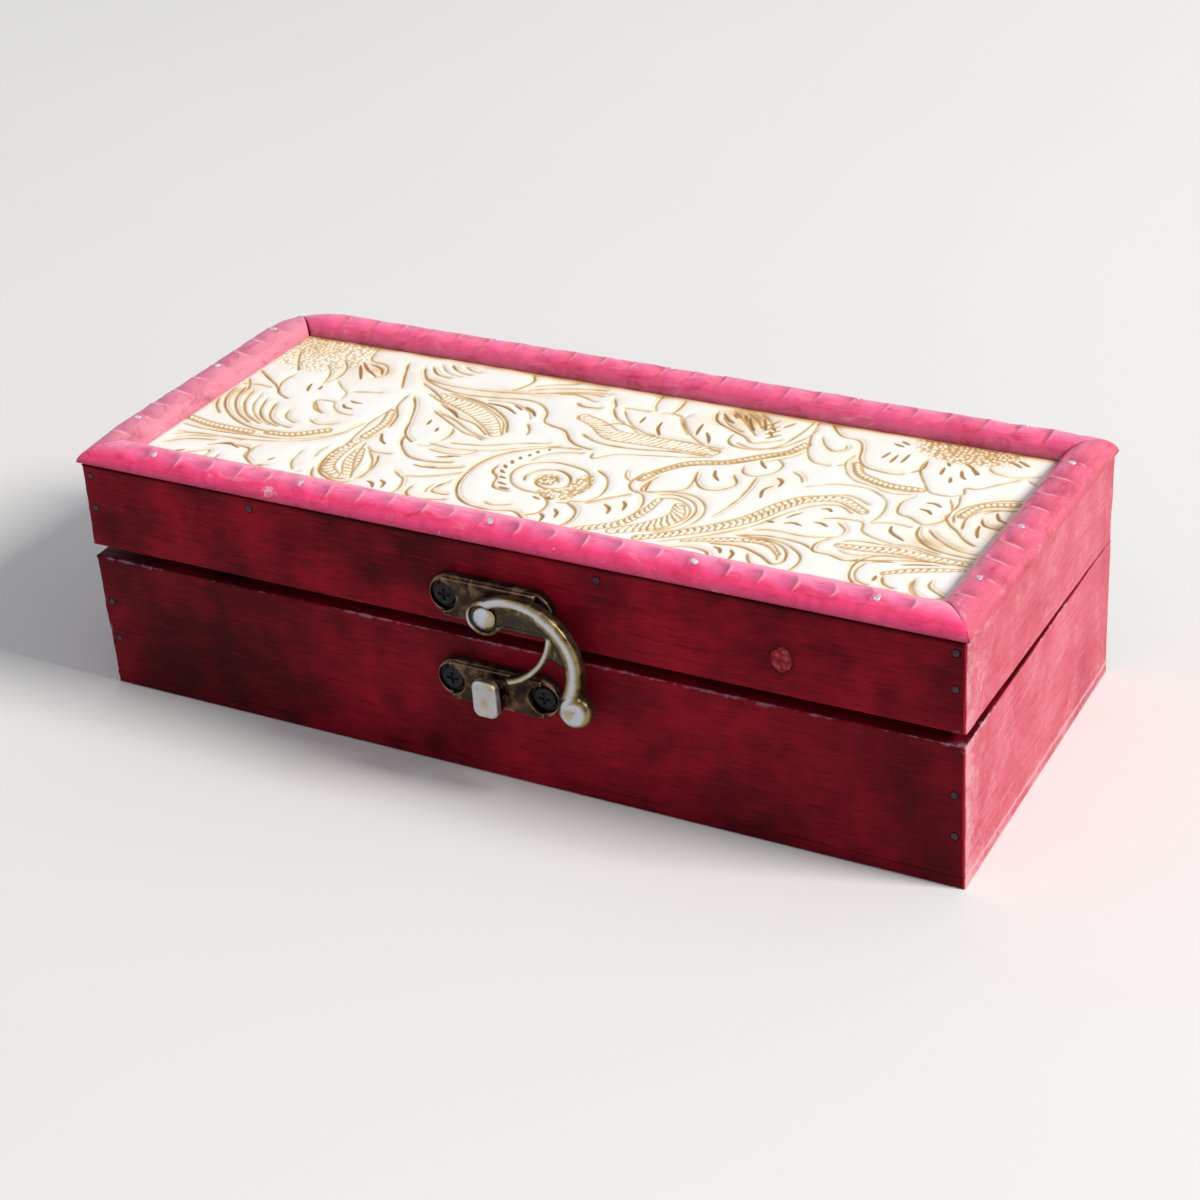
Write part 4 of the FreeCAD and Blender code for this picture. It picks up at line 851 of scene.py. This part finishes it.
# Depths that the tools press in, height of a bead, and how far the ground lies under the sheet's thickness
CUT_DEPTH, SECOND_DEPTH, MARK_DEPTH, BRAID_DEPTH, DOT_DEPTH = 0.30, 0.10, 0.26, 0.24, 0.22
BEAD_HEIGHT, GROUND_SINK = 0.16, 0.35
across, along = round(SHEET_X / GRID), round(SHEET_Y / GRID)
grid_x, grid_y = np.meshgrid(np.linspace(0, SHEET_X, across + 1), np.linspace(0, SHEET_Y, along + 1))
cut_in = np.zeros(grid_x.shape)
raised = np.zeros(grid_x.shape)
tan = np.zeros(grid_x.shape)
nearest = np.full(grid_x.shape, FAR)


def spline(points):
    """A smooth path through the points, sampled about every third of a millimetre."""
    knots = np.array(points, float)
    knots = np.vstack([2 * knots[0] - knots[1], knots, 2 * knots[-1] - knots[-2]])
    parts = []
    for a, b, c, d in zip(knots[:-3], knots[1:-2], knots[2:-1], knots[3:]):
        t = np.linspace(0, 1, max(3, int(np.hypot(*(c - b)) / 0.33)), endpoint=False)[:, None]
        parts.append(b + 0.5 * t * (c - a + t * (2 * a - 5 * b + 4 * c - d + t * (3 * b - a - 3 * c + d))))
    return np.vstack(parts + [knots[-2:-1]])


def measured(points, reach):
    """Distance from a path, place along it from 0 to its length, and signed distance to its side."""
    path = spline(points)
    run = np.concatenate([[0], np.cumsum(np.hypot(*np.diff(path, axis=0).T))])
    away = np.full(grid_x.shape, FAR)
    place = np.zeros(grid_x.shape)
    side = np.zeros(grid_x.shape)
    for start in range(0, len(path) - 1, 20):
        part = path[start:start + 21]
        low, high = part.min(0) - reach, part.max(0) + reach
        columns = slice(max(0, int(low[0] / GRID)), max(1, int(high[0] / GRID) + 2))
        rows = slice(max(0, int(low[1] / GRID)), max(1, int(high[1] / GRID) + 2))
        x, y = grid_x[rows, columns][..., None], grid_y[rows, columns][..., None]
        if not x.size:
            continue
        step = np.diff(part, axis=0)
        size = np.maximum((step ** 2).sum(1), 1e-9)
        t = np.clip(((x - part[:-1, 0]) * step[:, 0] + (y - part[:-1, 1]) * step[:, 1]) / size, 0, 1)
        dx = x - part[:-1, 0] - t * step[:, 0]
        dy = y - part[:-1, 1] - t * step[:, 1]
        gap = np.hypot(dx, dy)
        best = gap.argmin(-1)[..., None]
        found = np.take_along_axis(gap, best, -1)[..., 0]
        closer = found < away[rows, columns]
        turn = np.sign(np.take_along_axis(step[:, 0] * dy - step[:, 1] * dx, best, -1)[..., 0])
        spot = run[start + best[..., 0]] + np.take_along_axis(t * np.sqrt(size), best, -1)[..., 0]
        away[rows, columns] = np.where(closer, found, away[rows, columns])
        place[rows, columns] = np.where(closer, spot, place[rows, columns])
        side[rows, columns] = np.where(closer, turn * found, side[rows, columns])
    return away, place, side, run[-1]


def press(depth, colour):
    """Tool marks go no shallower and no paler than asked."""
    np.maximum(cut_in, depth, out=cut_in)
    np.maximum(tan, colour, out=tan)


def draw_cuts(random):
    """Cut lines with a stained halo, some with a finer line beside them."""
    ragged = 0.8 + 0.3 * noise(grid_x, grid_y, 2.5, 31)
    for points in CUTS:
        away, place, side, length = measured(points, 3.0)
        strength = random.uniform(0.6, 1.0)
        ends = smooth(-0.5, 1.6, np.minimum(place, length - place))
        width = (0.19 + 0.10 * strength) * (0.55 + 0.45 * ends)
        line = np.exp(-(away / width) ** 2) * ends
        stain = (0.85 * line + 0.26 * np.exp(-away / 0.65)) * strength * ragged * ends
        press(CUT_DEPTH * line * strength, stain)
        beside = np.exp(-((side - random.choice((-0.9, 0.9))) / 0.17) ** 2)
        second = beside * ends * (random.uniform() < 0.55) * smooth(0, 3, place)
        press(SECOND_DEPTH * second, 0.34 * second * ragged)
        np.minimum(nearest, away + 1.5 * (1 - ends), out=nearest)


def fill_marks():
    """Short strokes that are broad in the middle."""
    for points in MARKS:
        away, place, _, length = measured(points, 1.5)
        width = 0.12 + 0.42 * np.sqrt(np.clip(np.sin(np.pi * np.clip(place / length, 0.02, 0.98)), 0, 1))
        mark = smooth(width, width * 0.45, away)
        press(MARK_DEPTH * mark, 0.95 * mark)


def braid_veins():
    """Bordered veins crossed by slanting strokes."""
    wander = 0.12 * noise(grid_x, grid_y, 1.1, 36)
    patchy = 0.8 + 0.3 * noise(grid_x, grid_y, 2, 37)
    for points, width, slant in BRAIDS:
        away, place, side, length = measured(points, width + 1.0)
        half = width * (0.55 + 0.45 * np.sin(np.pi * np.clip(place / length, 0.03, 0.97)))
        inside = smooth(half, half - 0.3, away)
        turns = place / BRAID_PITCH + wander + 0.45 * np.abs(side) / half + slant * side / half
        wave = np.cos(2 * np.pi * turns)
        stain = inside * (0.10 + 0.72 * smooth(0.1, 0.95, wave)) * patchy
        press(BRAID_DEPTH * inside * smooth(0.0, 0.9, wave), stain)
        border = np.exp(-((away - half) / 0.24) ** 2)
        press(0.22 * border, 0.6 * border)


def bead_veins():
    """Bordered veins with a row of beads."""
    for points in BEADS:
        away, place, side, _ = measured(points, 2.0)
        bead = np.sqrt(np.clip(1 - (((place % BEAD_PITCH) - BEAD_PITCH / 2) ** 2 + side ** 2) / 0.36, 0, 1))
        inside = smooth(0.95, 0.75, away)
        np.add(raised, BEAD_HEIGHT * bead * inside, out=raised)
        press(0.14 * inside * (1 - bead), 0.6 * inside * (1 - bead))
        border = np.exp(-((away - 1.0) / 0.22) ** 2)
        press(0.2 * border, 0.62 * border)


def stipple(random):
    """Grounds pressed with a punch, which leaves pebbles standing."""
    jitter = random.uniform(0.15, 0.85, (JITTER, JITTER, 2))
    cell_x, cell_y = grid_x / PEBBLE, grid_y / PEBBLE
    pebble = np.full(grid_x.shape, FAR)
    for i in (-1, 0, 1):
        for j in (-1, 0, 1):
            column, row = np.floor(cell_x).astype(int) + i, np.floor(cell_y).astype(int) + j
            centre = jitter[column % JITTER, row % JITTER]
            away = np.hypot(cell_x - column - centre[..., 0], cell_y - row - centre[..., 1])
            pebble = np.minimum(pebble, away)
    for x, y, reach_x, reach_y, strength in DOTS:
        ground = smooth(1.2, 0.75, np.hypot((grid_x - x) / reach_x, (grid_y - y) / reach_y))
        press(DOT_DEPTH * ground * smooth(0.2, 0.5, pebble),
              strength * ground * (0.12 + 0.75 * smooth(0.25, 0.55, pebble)))


def finish_and_shadow():
    """Where the finish has gathered in pools, and along the back edge a dark strip of gathered dirt with the
    back moulding's shadow painted in.
    """
    pooled = np.zeros(grid_x.shape)
    cloudy = 0.75 + 0.5 * noise(grid_x, grid_y, 3, 33)
    for x, y, reach_x, reach_y, strength in POOLS:
        spread = np.hypot((grid_x - x) / reach_x, (grid_y - y) / reach_y)
        pooled = np.maximum(pooled, strength * np.exp(-spread ** 2) * cloudy)
    # Along the back edge: gathered dirt with the back moulding's shadow painted in
    return np.maximum(pooled, np.exp(-(grid_y / 1.7) ** 2) * (0.85 + 0.4 * noise(grid_x, grid_y, 4, 35)))


hand = np.random.default_rng(5)
draw_cuts(hand)
fill_marks()
braid_veins()
bead_veins()
stipple(hand)
tanned = np.clip(np.maximum(tan, finish_and_shadow() + 0.6 * tan), 0, 1)
swell = 0.34 * (1 - np.exp(-nearest / 1.3)) + 0.05 * noise(grid_x, grid_y, 9, 34)
rim = smooth(0, 1.2, np.minimum(np.minimum(grid_x, SHEET_X - grid_x), np.minimum(grid_y, SHEET_Y - grid_y)))
height = LID_TOP + SHEET - GROUND_SINK + (swell + raised - cut_in) * rim
top = np.stack([grid_x - SHEET_X / 2, SHEET_Y / 2 - grid_y, height], -1).reshape(-1, 3)
index = np.arange(grid_x.size).reshape(grid_x.shape)
upper = np.stack([index[1:, :-1], index[1:, 1:], index[:-1, 1:], index[:-1, :-1]], -1).reshape(-1, 4)
loop = np.concatenate([index[0, :-1], index[:-1, -1], index[-1, :0:-1], index[:0:-1, 0]])
foot = top[loop].copy()
foot[:, 2] = LID_TOP
low = grid_x.size + np.arange(len(loop))
skirt = np.stack([loop, np.roll(loop, -1), np.roll(low, -1), low], -1)
faces = np.concatenate([upper, skirt]).tolist() + [low.tolist()]
CREAM = ((0.0, (0.92, 0.905, 0.865)), (0.16, (0.88, 0.81, 0.66)), (0.45, (0.69, 0.47, 0.24)),
         (1.0, (0.37, 0.18, 0.06)))
leather = Look("tooled_leather", 0.62, specular=0.16)
where = leather.place()
grain = leather.noise(where, 2400, 3, 0.6)
finish = leather.varied(leather.value("tan"), leather.noise(where, 70, 4, 0.6), 0.35, 0.8, -0.02, 0.07)
leather.set("Base Color", leather.ramp(finish, *CREAM))
leather.set("Roughness", leather.step(grain, 0.3, 0.7, 0.42, 0.6))
leather.bump(grain, 0.15, 0.00008)
values = {"tan": np.concatenate([tanned.ravel(), np.full(len(loop), 0.3)])}
sheet = piece("tooled_leather_sheet", tilted(np.vstack([top, foot])), faces, "lid", ["lid_embossed_sheet"],
              leather.material, values)


# Cast metal of the clasp: the CAD shapes softened, domed where the casting is, with dirt in the hollows
FRONT = -HALF_Y
CLASP_X = 1.1
PIVOT_Z = LID_BOTTOM + 7.6 - 1.75
HOOK_FRONT = 5.22
ARM_X, ARM_Z, ARM_RADIUS, ARM_WIDTH = CLASP_X + 7.193, PIVOT_Z - 8.998, 14.8, 3.7
BALL_X, BALL_Z = CLASP_X + 19.906, PIVOT_Z - 17.405
CLAW_MIDDLE = 14.8
HEAD_Z = PIVOT_Z - 15.1


def relaxed(points, edges, rounds):
    """Each point moves half way to the middle of its neighbours, a number of times."""
    a, b = edges.T
    count = np.bincount(np.concatenate([a, b]), minlength=len(points))[:, None]

    def gathered(values):
        return np.bincount(a, values[b], len(values)) + np.bincount(b, values[a], len(values))

    for _ in range(rounds):
        total = np.stack([gathered(values) for values in points.T], 1)
        points = 0.5 * points + 0.5 * total / np.maximum(count, 1)
    return points


def fetched(items, key, width, kind=float):
    """What the points or edges of a mesh hold, in rows."""
    values = np.empty(len(items) * width, kind)
    items.foreach_get(key, values)
    return values.reshape(-1, width)


def cast(name, body, voxel, rounds, look, shine, hollow, shape=None, rub_and_gleam=None, lit=None):
    """A softened copy of a CAD node; shine is the heights off the front over which a painted highlight grows,
    hollow those under which it grows dirty.
    """
    lid = body != "base"
    rough = bpy.data.objects.new(name + "_rough", nodes[name].data.copy())
    bpy.context.scene.collection.objects.link(rough)
    weld = rough.modifiers.new("weld", "WELD")
    weld.merge_threshold = 1e-6
    fill = rough.modifiers.new("fill", "REMESH")
    fill.mode = "VOXEL"
    fill.voxel_size = voxel / 1000
    ready = bpy.data.meshes.new_from_object(rough.evaluated_get(bpy.context.evaluated_depsgraph_get()))
    bpy.data.objects.remove(rough)
    points = fetched(ready.vertices, "co", 3) * 1000
    edges = fetched(ready.edges, "vertices", 2, int)
    faces = [list(face.vertices) for face in ready.polygons]
    points = relaxed(tilted(points, -AJAR) if lid else points, edges, 3)
    if shape:
        points = shape(points, FRONT - points[:, 1])
    points = relaxed(points, edges, rounds)
    broad = relaxed(points, edges, 14) - points
    normals = fetched(ready.vertices, "normal", 3)
    bend = relaxed((broad * normals).sum(1)[:, None], edges, 2)[:, 0]
    out = FRONT - points[:, 1]
    values = {"worn": np.clip(-bend / 0.08, 0, 1), "dirt": np.clip(bend / 0.07, 0, 1),
              "lit": lit(points) if lit else smooth(*shine, out), "hollow": smooth(hollow[1], hollow[0], out),
              "rub_and_gleam": rub_and_gleam(points, out) if rub_and_gleam else np.zeros(len(points))}
    bpy.data.meshes.remove(ready)
    return piece(name + "_cast", tilted(points) if lid else points, faces, body, [name], look, values)


def hook_zones(points):
    """Where points lie: across the arm, on the arm, the ring and the claw, across the claw, on the web."""
    right, up = points[:, 0] - CLASP_X, points[:, 2] - PIVOT_Z
    radius = np.hypot(points[:, 0] - ARM_X, points[:, 2] - ARM_Z)
    bearing = np.degrees(np.arctan2(points[:, 2] - ARM_Z, points[:, 0] - ARM_X))
    over = (radius - (ARM_RADIUS - ARM_WIDTH * 0.45)) / (ARM_WIDTH * 0.6)
    on_arm = smooth(-42, -30, bearing) * smooth(150, 118, bearing)
    pivot = np.hypot(right, up)
    ring = smooth(4.2, 3.9, pivot) * np.clip(1 - ((pivot - 3.4) / 0.8) ** 2, 0, 1) * (1 - on_arm)
    claw = smooth(13.5, 14.0, pivot) * smooth(16.2, 15.7, pivot) * smooth(-1.2, -2.2, up)
    web = smooth(11.3, 10.5, radius) * smooth(4.0, 4.5, pivot) * (1 - claw) * (ball_away(points) > 4.2)
    over = over - 0.3 * smooth(50, 110, bearing)
    ring = ring * smooth(-2.5, 1.5, up - right)
    return over, on_arm, ring, claw, (pivot - CLAW_MIDDLE) / 0.85, web


def hook_shape(points, out):
    """The arm is a half-round bar, the web beside it lies lower, and the claw and the ball are rounded."""
    shaped = points.copy()
    front = smooth(HOOK_FRONT - 1.0, HOOK_FRONT - 0.2, out)
    over, on_arm, ring, claw, across_claw, web = hook_zones(points)
    rise = on_arm * (0.8 * np.clip(1 - over ** 2, 0, 1) - 0.25) + 0.35 * ring - 0.6 * web
    rise -= 0.45 * claw * np.clip(across_claw ** 2, 0, 1)
    shaped[:, 1] -= front * rise
    shaped[:, 1] -= smooth(4.4, 5.8, out) * 0.3 * np.clip(1 - (ball_away(points) / 3.4) ** 2, 0, 1)
    crown = (ball_away(points) < 0.6) & (out > HOOK_FRONT - 1)
    shaped[crown, 1] = np.minimum(shaped[crown, 1], np.median(shaped[crown, 1]))
    return shaped


def hook_lit(points):
    """A painted highlight: a silvery line along the arm, the claw and the ball, where they catch the light;
    their sides stay olive.
    """
    over, on_arm, ring, claw, across_claw, web = hook_zones(points)
    low = smooth(-4, -14, points[:, 2] - PIVOT_Z)
    arm = on_arm * np.exp(-((over - 0.1 + 0.2 * low) / (0.42 + 0.14 * low)) ** 2)
    ball = smooth(3.7, 2.0, ball_away(points))
    tip = 0.85 * claw * np.exp(-(across_claw / 0.6) ** 2)
    flank = 0.36 * on_arm * smooth(0.7, 0.4, over) * smooth(-1.0, -0.5, over)
    return np.max([arm, 0.9 * ring, tip, ball, flank], axis=0) * (1 - 0.9 * web)


def ball_away(points):
    """Distance from the middle of the ball, seen from the front."""
    return np.hypot(points[:, 0] - BALL_X, points[:, 2] - BALL_Z)


def hook_painted_gilt(points, out):
    """Painted light on the ball: gilt in its middle and on its right, where the light falls."""
    middle = smooth(2.3, 0.3, np.hypot((points[:, 0] - BALL_X + 0.5) / 0.75, points[:, 2] - BALL_Z - 0.2))
    right = smooth(2.0, 3.4, points[:, 0] - BALL_X + 0.4 * (BALL_Z - points[:, 2]))
    return np.maximum(middle, 0.8 * right) * (ball_away(points) < 4)


def catch_shape(points, out):
    """The head's face is slightly dished."""
    shaped = points.copy()
    dish = np.hypot((points[:, 0] - CLASP_X) / 2.9, (points[:, 2] - HEAD_Z) / 4.3)
    shaped[:, 1] += smooth(6.6, 7.4, out) * 0.3 * np.clip(1 - dish ** 2, 0, 1)
    return shaped


def catch_painted_gilt(points, out):
    """Painted light on the head: gilt below its middle and at the upper right, where the light falls."""
    right, up = points[:, 0] - CLASP_X, points[:, 2] - HEAD_Z
    middle = smooth(2.2, 0.2, np.hypot(right / 0.8, up + 0.8))
    return (out > 6) * np.maximum(0.8 * middle, 0.8 * smooth(3.0, 4.6, right * 0.6 + up))


def rivet_painted_gilt(points, out):
    """Painted light on the rivet: gilt on its right, where the light falls."""
    return smooth(0.2, 1.8, points[:, 0] - CLASP_X - 0.3 * (points[:, 2] - PIVOT_Z))


# Gilt painted where the light falls on the ball, the catch's head and the rivet
GILT_LIGHT = (0.40, 0.325, 0.14)


def brass(name, tones, edges, rough=(0.26, 0.5)):
    """Antiqued brass: brown patina, dirt in hollows, rubbed pale on edges, and a painted highlight on what
    stands out furthest.
    """
    look = Look(name, 0.4, 1.0)
    where = look.place()
    dark, bronze, gold, silver = tones
    patch = look.noise(where, 330, 4, 0.6, 0.4)
    speck = look.noise(where, 1700, 3, 0.65)
    colour = look.ramp(patch, (0.34, dark), (0.5, bronze), (0.7, gold))
    lit = look.add(look.value("lit"), look.times(look.value("worn"), edges))
    lit = look.varied(lit, patch, 0.25, 0.75, -0.12, 0.12)
    # Painted highlight, with the rubbed edges: gold, then silver where it is strongest
    colour = look.mix(look.step(lit, 0.1, 0.6), colour, gold)
    colour = look.mix(look.step(lit, 0.45, 1.0), colour, silver)
    # Gilt painted where the light falls on the ball, the catch's head and the rivet
    wear_and_gleam = look.varied(look.value("rub_and_gleam"), speck, 0.25, 0.75, -0.12, 0.12)
    colour = look.mix(look.step(wear_and_gleam, 0.0, 1.0, 0.0, 0.8), colour, GILT_LIGHT)
    grime_and_shade = look.varied(look.value("dirt"), speck, 0.25, 0.75, -0.35, 0.35)
    grime_and_shade = look.add(grime_and_shade, look.times(look.value("hollow"), 0.75))
    colour = look.mix(look.step(grime_and_shade, 0.2, 0.8, 0.0, 0.92), colour, (0.020, 0.013, 0.010))
    colour = look.mix(look.step(speck, 0.66, 0.74, 0.0, 0.5), colour, tuple(0.5 * c for c in bronze))
    look.set("Base Color", colour)
    look.set("Metallic", look.step(grime_and_shade, 0.3, 1.0, 1.0, 0.5))
    look.set("Roughness", look.step(look.add(patch, look.times(speck, 0.5)), 0.45, 1.05, *rough))
    look.bump(look.add(speck, patch), 0.3, 0.00008)
    return look.material


# The last of each set of tones, silver, is the colour of the painted highlight
PLATE_TONES = ((0.014, 0.010, 0.010), (0.055, 0.031, 0.023), (0.23, 0.140, 0.078), (0.46, 0.46, 0.46))
HOOK_TONES = ((0.045, 0.029, 0.014), (0.11, 0.076, 0.032), (0.30, 0.240, 0.105), (0.48, 0.50, 0.55))
plate_brass = brass("antique_brass_plate", PLATE_TONES, 0.7, (0.32, 0.6))
hook_brass = brass("antique_brass_hook", HOOK_TONES, 0.08)
# Size of the cells that the castings are filled with, in millimetres
VOXEL, FINE_VOXEL = 0.13, 0.11
cast("clasp_hook", "clasp_hook", VOXEL, 5, hook_brass, shine=None, hollow=(4.2, 4.8),
     shape=hook_shape, rub_and_gleam=hook_painted_gilt, lit=hook_lit)
cast("clasp_hook_plate", "lid", VOXEL, 9, plate_brass, shine=(4.6, 6.6), hollow=(0.5, 2.1))
cast("clasp_catch_plate", "base", VOXEL, 9, plate_brass, shine=(4.6, 6.6), hollow=(0.5, 2.1),
     shape=catch_shape, rub_and_gleam=catch_painted_gilt)
cast("clasp_pivot_rivet", "lid", FINE_VOXEL, 4, hook_brass, shine=(4.3, 5.6),
     hollow=(3.5, 4.5), rub_and_gleam=rivet_painted_gilt)

screw_dark = Look("blackened_screw", 0.5, 0.7)
where = screw_dark.place()
tone = screw_dark.noise(where, 900, 4, 0.6)
black = screw_dark.ramp(tone, (0.35, (0.004, 0.005, 0.007)), (0.7, (0.018, 0.018, 0.023)))
screw_dark.set("Base Color", black)
screw_dark.set("Roughness", screw_dark.step(screw_dark.noise(where, 1500, 2), 0.3, 0.7, 0.38, 0.6))
for name, body in (("clasp_hook_screws", "lid"), ("clasp_catch_screws", "base")):
    cast(name, body, FINE_VOXEL, 2, screw_dark.material, shine=(0, 9), hollow=(0, 1))


def dressed(names, look):
    """CAD nodes whose shape is right keep it and take a finish."""
    for name in names:
        slots = nodes[name].data.materials
        slots.clear()
        slots.append(look)


def plain_metal(name, dark, light, rough, metallic=1.0, scale=700):
    """Metal mottled between two tones."""
    look = Look(name, 0.4, metallic)
    where = look.place()
    tone = look.noise(where, scale, 4, 0.6, 0.3)
    look.set("Base Color", look.ramp(tone, (0.32, dark), (0.68, light)))
    look.set("Roughness", look.step(look.noise(where, scale * 2.3, 3), 0.3, 0.7, *rough))
    look.bump(tone, 0.2, 0.00006)
    return look.material


brad_steel = plain_metal("brad_steel", (0.010, 0.005, 0.007), (0.055, 0.032, 0.040), (0.35, 0.6), 0.4)
pin_white = plain_metal("pin_white", (0.40, 0.33, 0.36), (0.80, 0.77, 0.80), (0.3, 0.5), 0.5, 900)
hinge_brass = plain_metal("hinge_brass", (0.26, 0.17, 0.075), (0.55, 0.41, 0.20), (0.3, 0.5), scale=260)
hinge_screw = plain_metal("hinge_screw", (0.20, 0.13, 0.06), (0.46, 0.34, 0.17), (0.3, 0.5), scale=500)
hinge_steel = plain_metal("hinge_pin_steel", (0.22, 0.21, 0.20), (0.48, 0.47, 0.45), (0.28, 0.45), scale=500)
dressed(["base_corner_brads", "base_bottom_brads", "lid_corner_brads", "lid_panel_brads"], brad_steel)
piece("moulding_pin_heads", np.vstack(heads), head_faces, "lid", ["moulding_pins"], pin_white)
dressed([f"hinge_{side}_{part}_leaf" for side in ("left", "right") for part in ("base", "lid")], hinge_brass)
dressed(["hinge_base_screws", "hinge_lid_screws"], hinge_screw)
dressed(["hinge_left_pin", "hinge_right_pin"], hinge_steel)
dressed(["lid_top_panel"], long_wood)

# Felt on the floor of the tray
felt = Look("felt", 0.95, specular=0.1)
where = felt.place()
fibre = felt.noise(where, 1600, 5, 0.75, 1.2)
felt.set("Base Color", felt.ramp(felt.add(felt.times(fibre, 0.7), felt.times(felt.noise(where, 60, 3), 0.3)),
                                 (0.35, (0.06, 0.006, 0.012)), (0.65, (0.17, 0.017, 0.032))))
felt.set("Sheen Weight", 0.35)
felt.set("Sheen Roughness", 0.5)
felt.bump(fibre, 0.6, 0.0004)
felt_x, felt_y = HALF_X - BOARD - FELT_GAP, HALF_Y - BOARD - FELT_GAP
lining = worn_board("base_floor_lining", (-felt_x, -felt_y, BOTTOM), (felt_x, felt_y, BOTTOM + FELT_THICK),
                    [((a, UP), 0.45) for a in (FORE, AFT, LEFT, RIGHT)], felt.material, False, 400,
                    step=1.5)


# Floor, light and camera
floor_look = Look("pale_floor", 0.9, specular=0.1)
floor_tone = floor_look.noise(floor_look.place(), 3, 2)
pale = floor_look.ramp(floor_tone, (0.3, (0.78, 0.78, 0.77)), (0.7, (0.80, 0.80, 0.79)))
floor_look.set("Base Color", pale)
bpy.ops.mesh.primitive_plane_add(size=8, location=(0, 0, -0.0002))
floor = bpy.context.object
floor.name = "floor"
floor.data.materials.append(floor_look.material)

# The sky is brighter where it is seen or mirrored than as a light
SKY_LIGHT, SKY_SEEN = 0.46, 0.95
world = bpy.data.worlds.new("studio")
bpy.context.scene.world = world
world.use_nodes = True
tree = world.node_tree
sky = tree.nodes["Background"]
sky.inputs["Color"].default_value = (0.93, 0.95, 1.0, 1)
rays = tree.nodes.new("ShaderNodeLightPath")
seen = rays.outputs["Is Camera Ray"]
for kind in ("Is Glossy Ray", "Is Transmission Ray"):
    either = tree.nodes.new("ShaderNodeMath")
    either.operation = "MAXIMUM"
    tree.links.new(seen, either.inputs[0])
    tree.links.new(rays.outputs[kind], either.inputs[1])
    seen = either.outputs[0]
level = tree.nodes.new("ShaderNodeMapRange")
level.inputs["To Min"].default_value = SKY_LIGHT
level.inputs["To Max"].default_value = SKY_SEEN
tree.links.new(seen, level.inputs["Value"])
tree.links.new(level.outputs["Result"], sky.inputs["Strength"])


def lamp(name, spot, target, size, watts, colour):
    """A square lamp aimed at a point."""
    data = bpy.data.lights.new(name, "AREA")
    data.size = size
    data.energy = watts
    data.color = colour
    made = bpy.data.objects.new(name, data)
    bpy.context.scene.collection.objects.link(made)
    made.location = spot
    aim = np.array(target) - np.array(spot)
    made.rotation_euler = Vector(aim).to_track_quat("-Z", "Y").to_euler()


lamp("key", spot=(2.62, 0.30, 2.05), target=(0, 0, 0.03), size=0.88, watts=122, colour=(1.0, 0.97, 0.93))

# The camera that was fitted to the photograph
EYE = (0.245058, -0.420520, 0.303582)
RIGHTWARD = (0.88199305, 0.46636384, -0.06777183)
DOWNWARD = (0.18441092, -0.47388894, -0.86105859)
FORWARD = (-0.43368291, 0.74694983, -0.50396933)
view = bpy.data.cameras.new("camera")
view.sensor_width = 36
view.lens = 76.78
view.clip_start = 0.01
eye = bpy.data.objects.new("camera", view)
bpy.context.scene.collection.objects.link(eye)
rows = [(right, -down, -forward, at) for right, down, forward, at in zip(RIGHTWARD, DOWNWARD, FORWARD, EYE)]
eye.matrix_world = Matrix(rows + [(0, 0, 0, 1)])
bpy.context.scene.camera = eye
bpy.context.scene.view_settings.view_transform = "Standard"
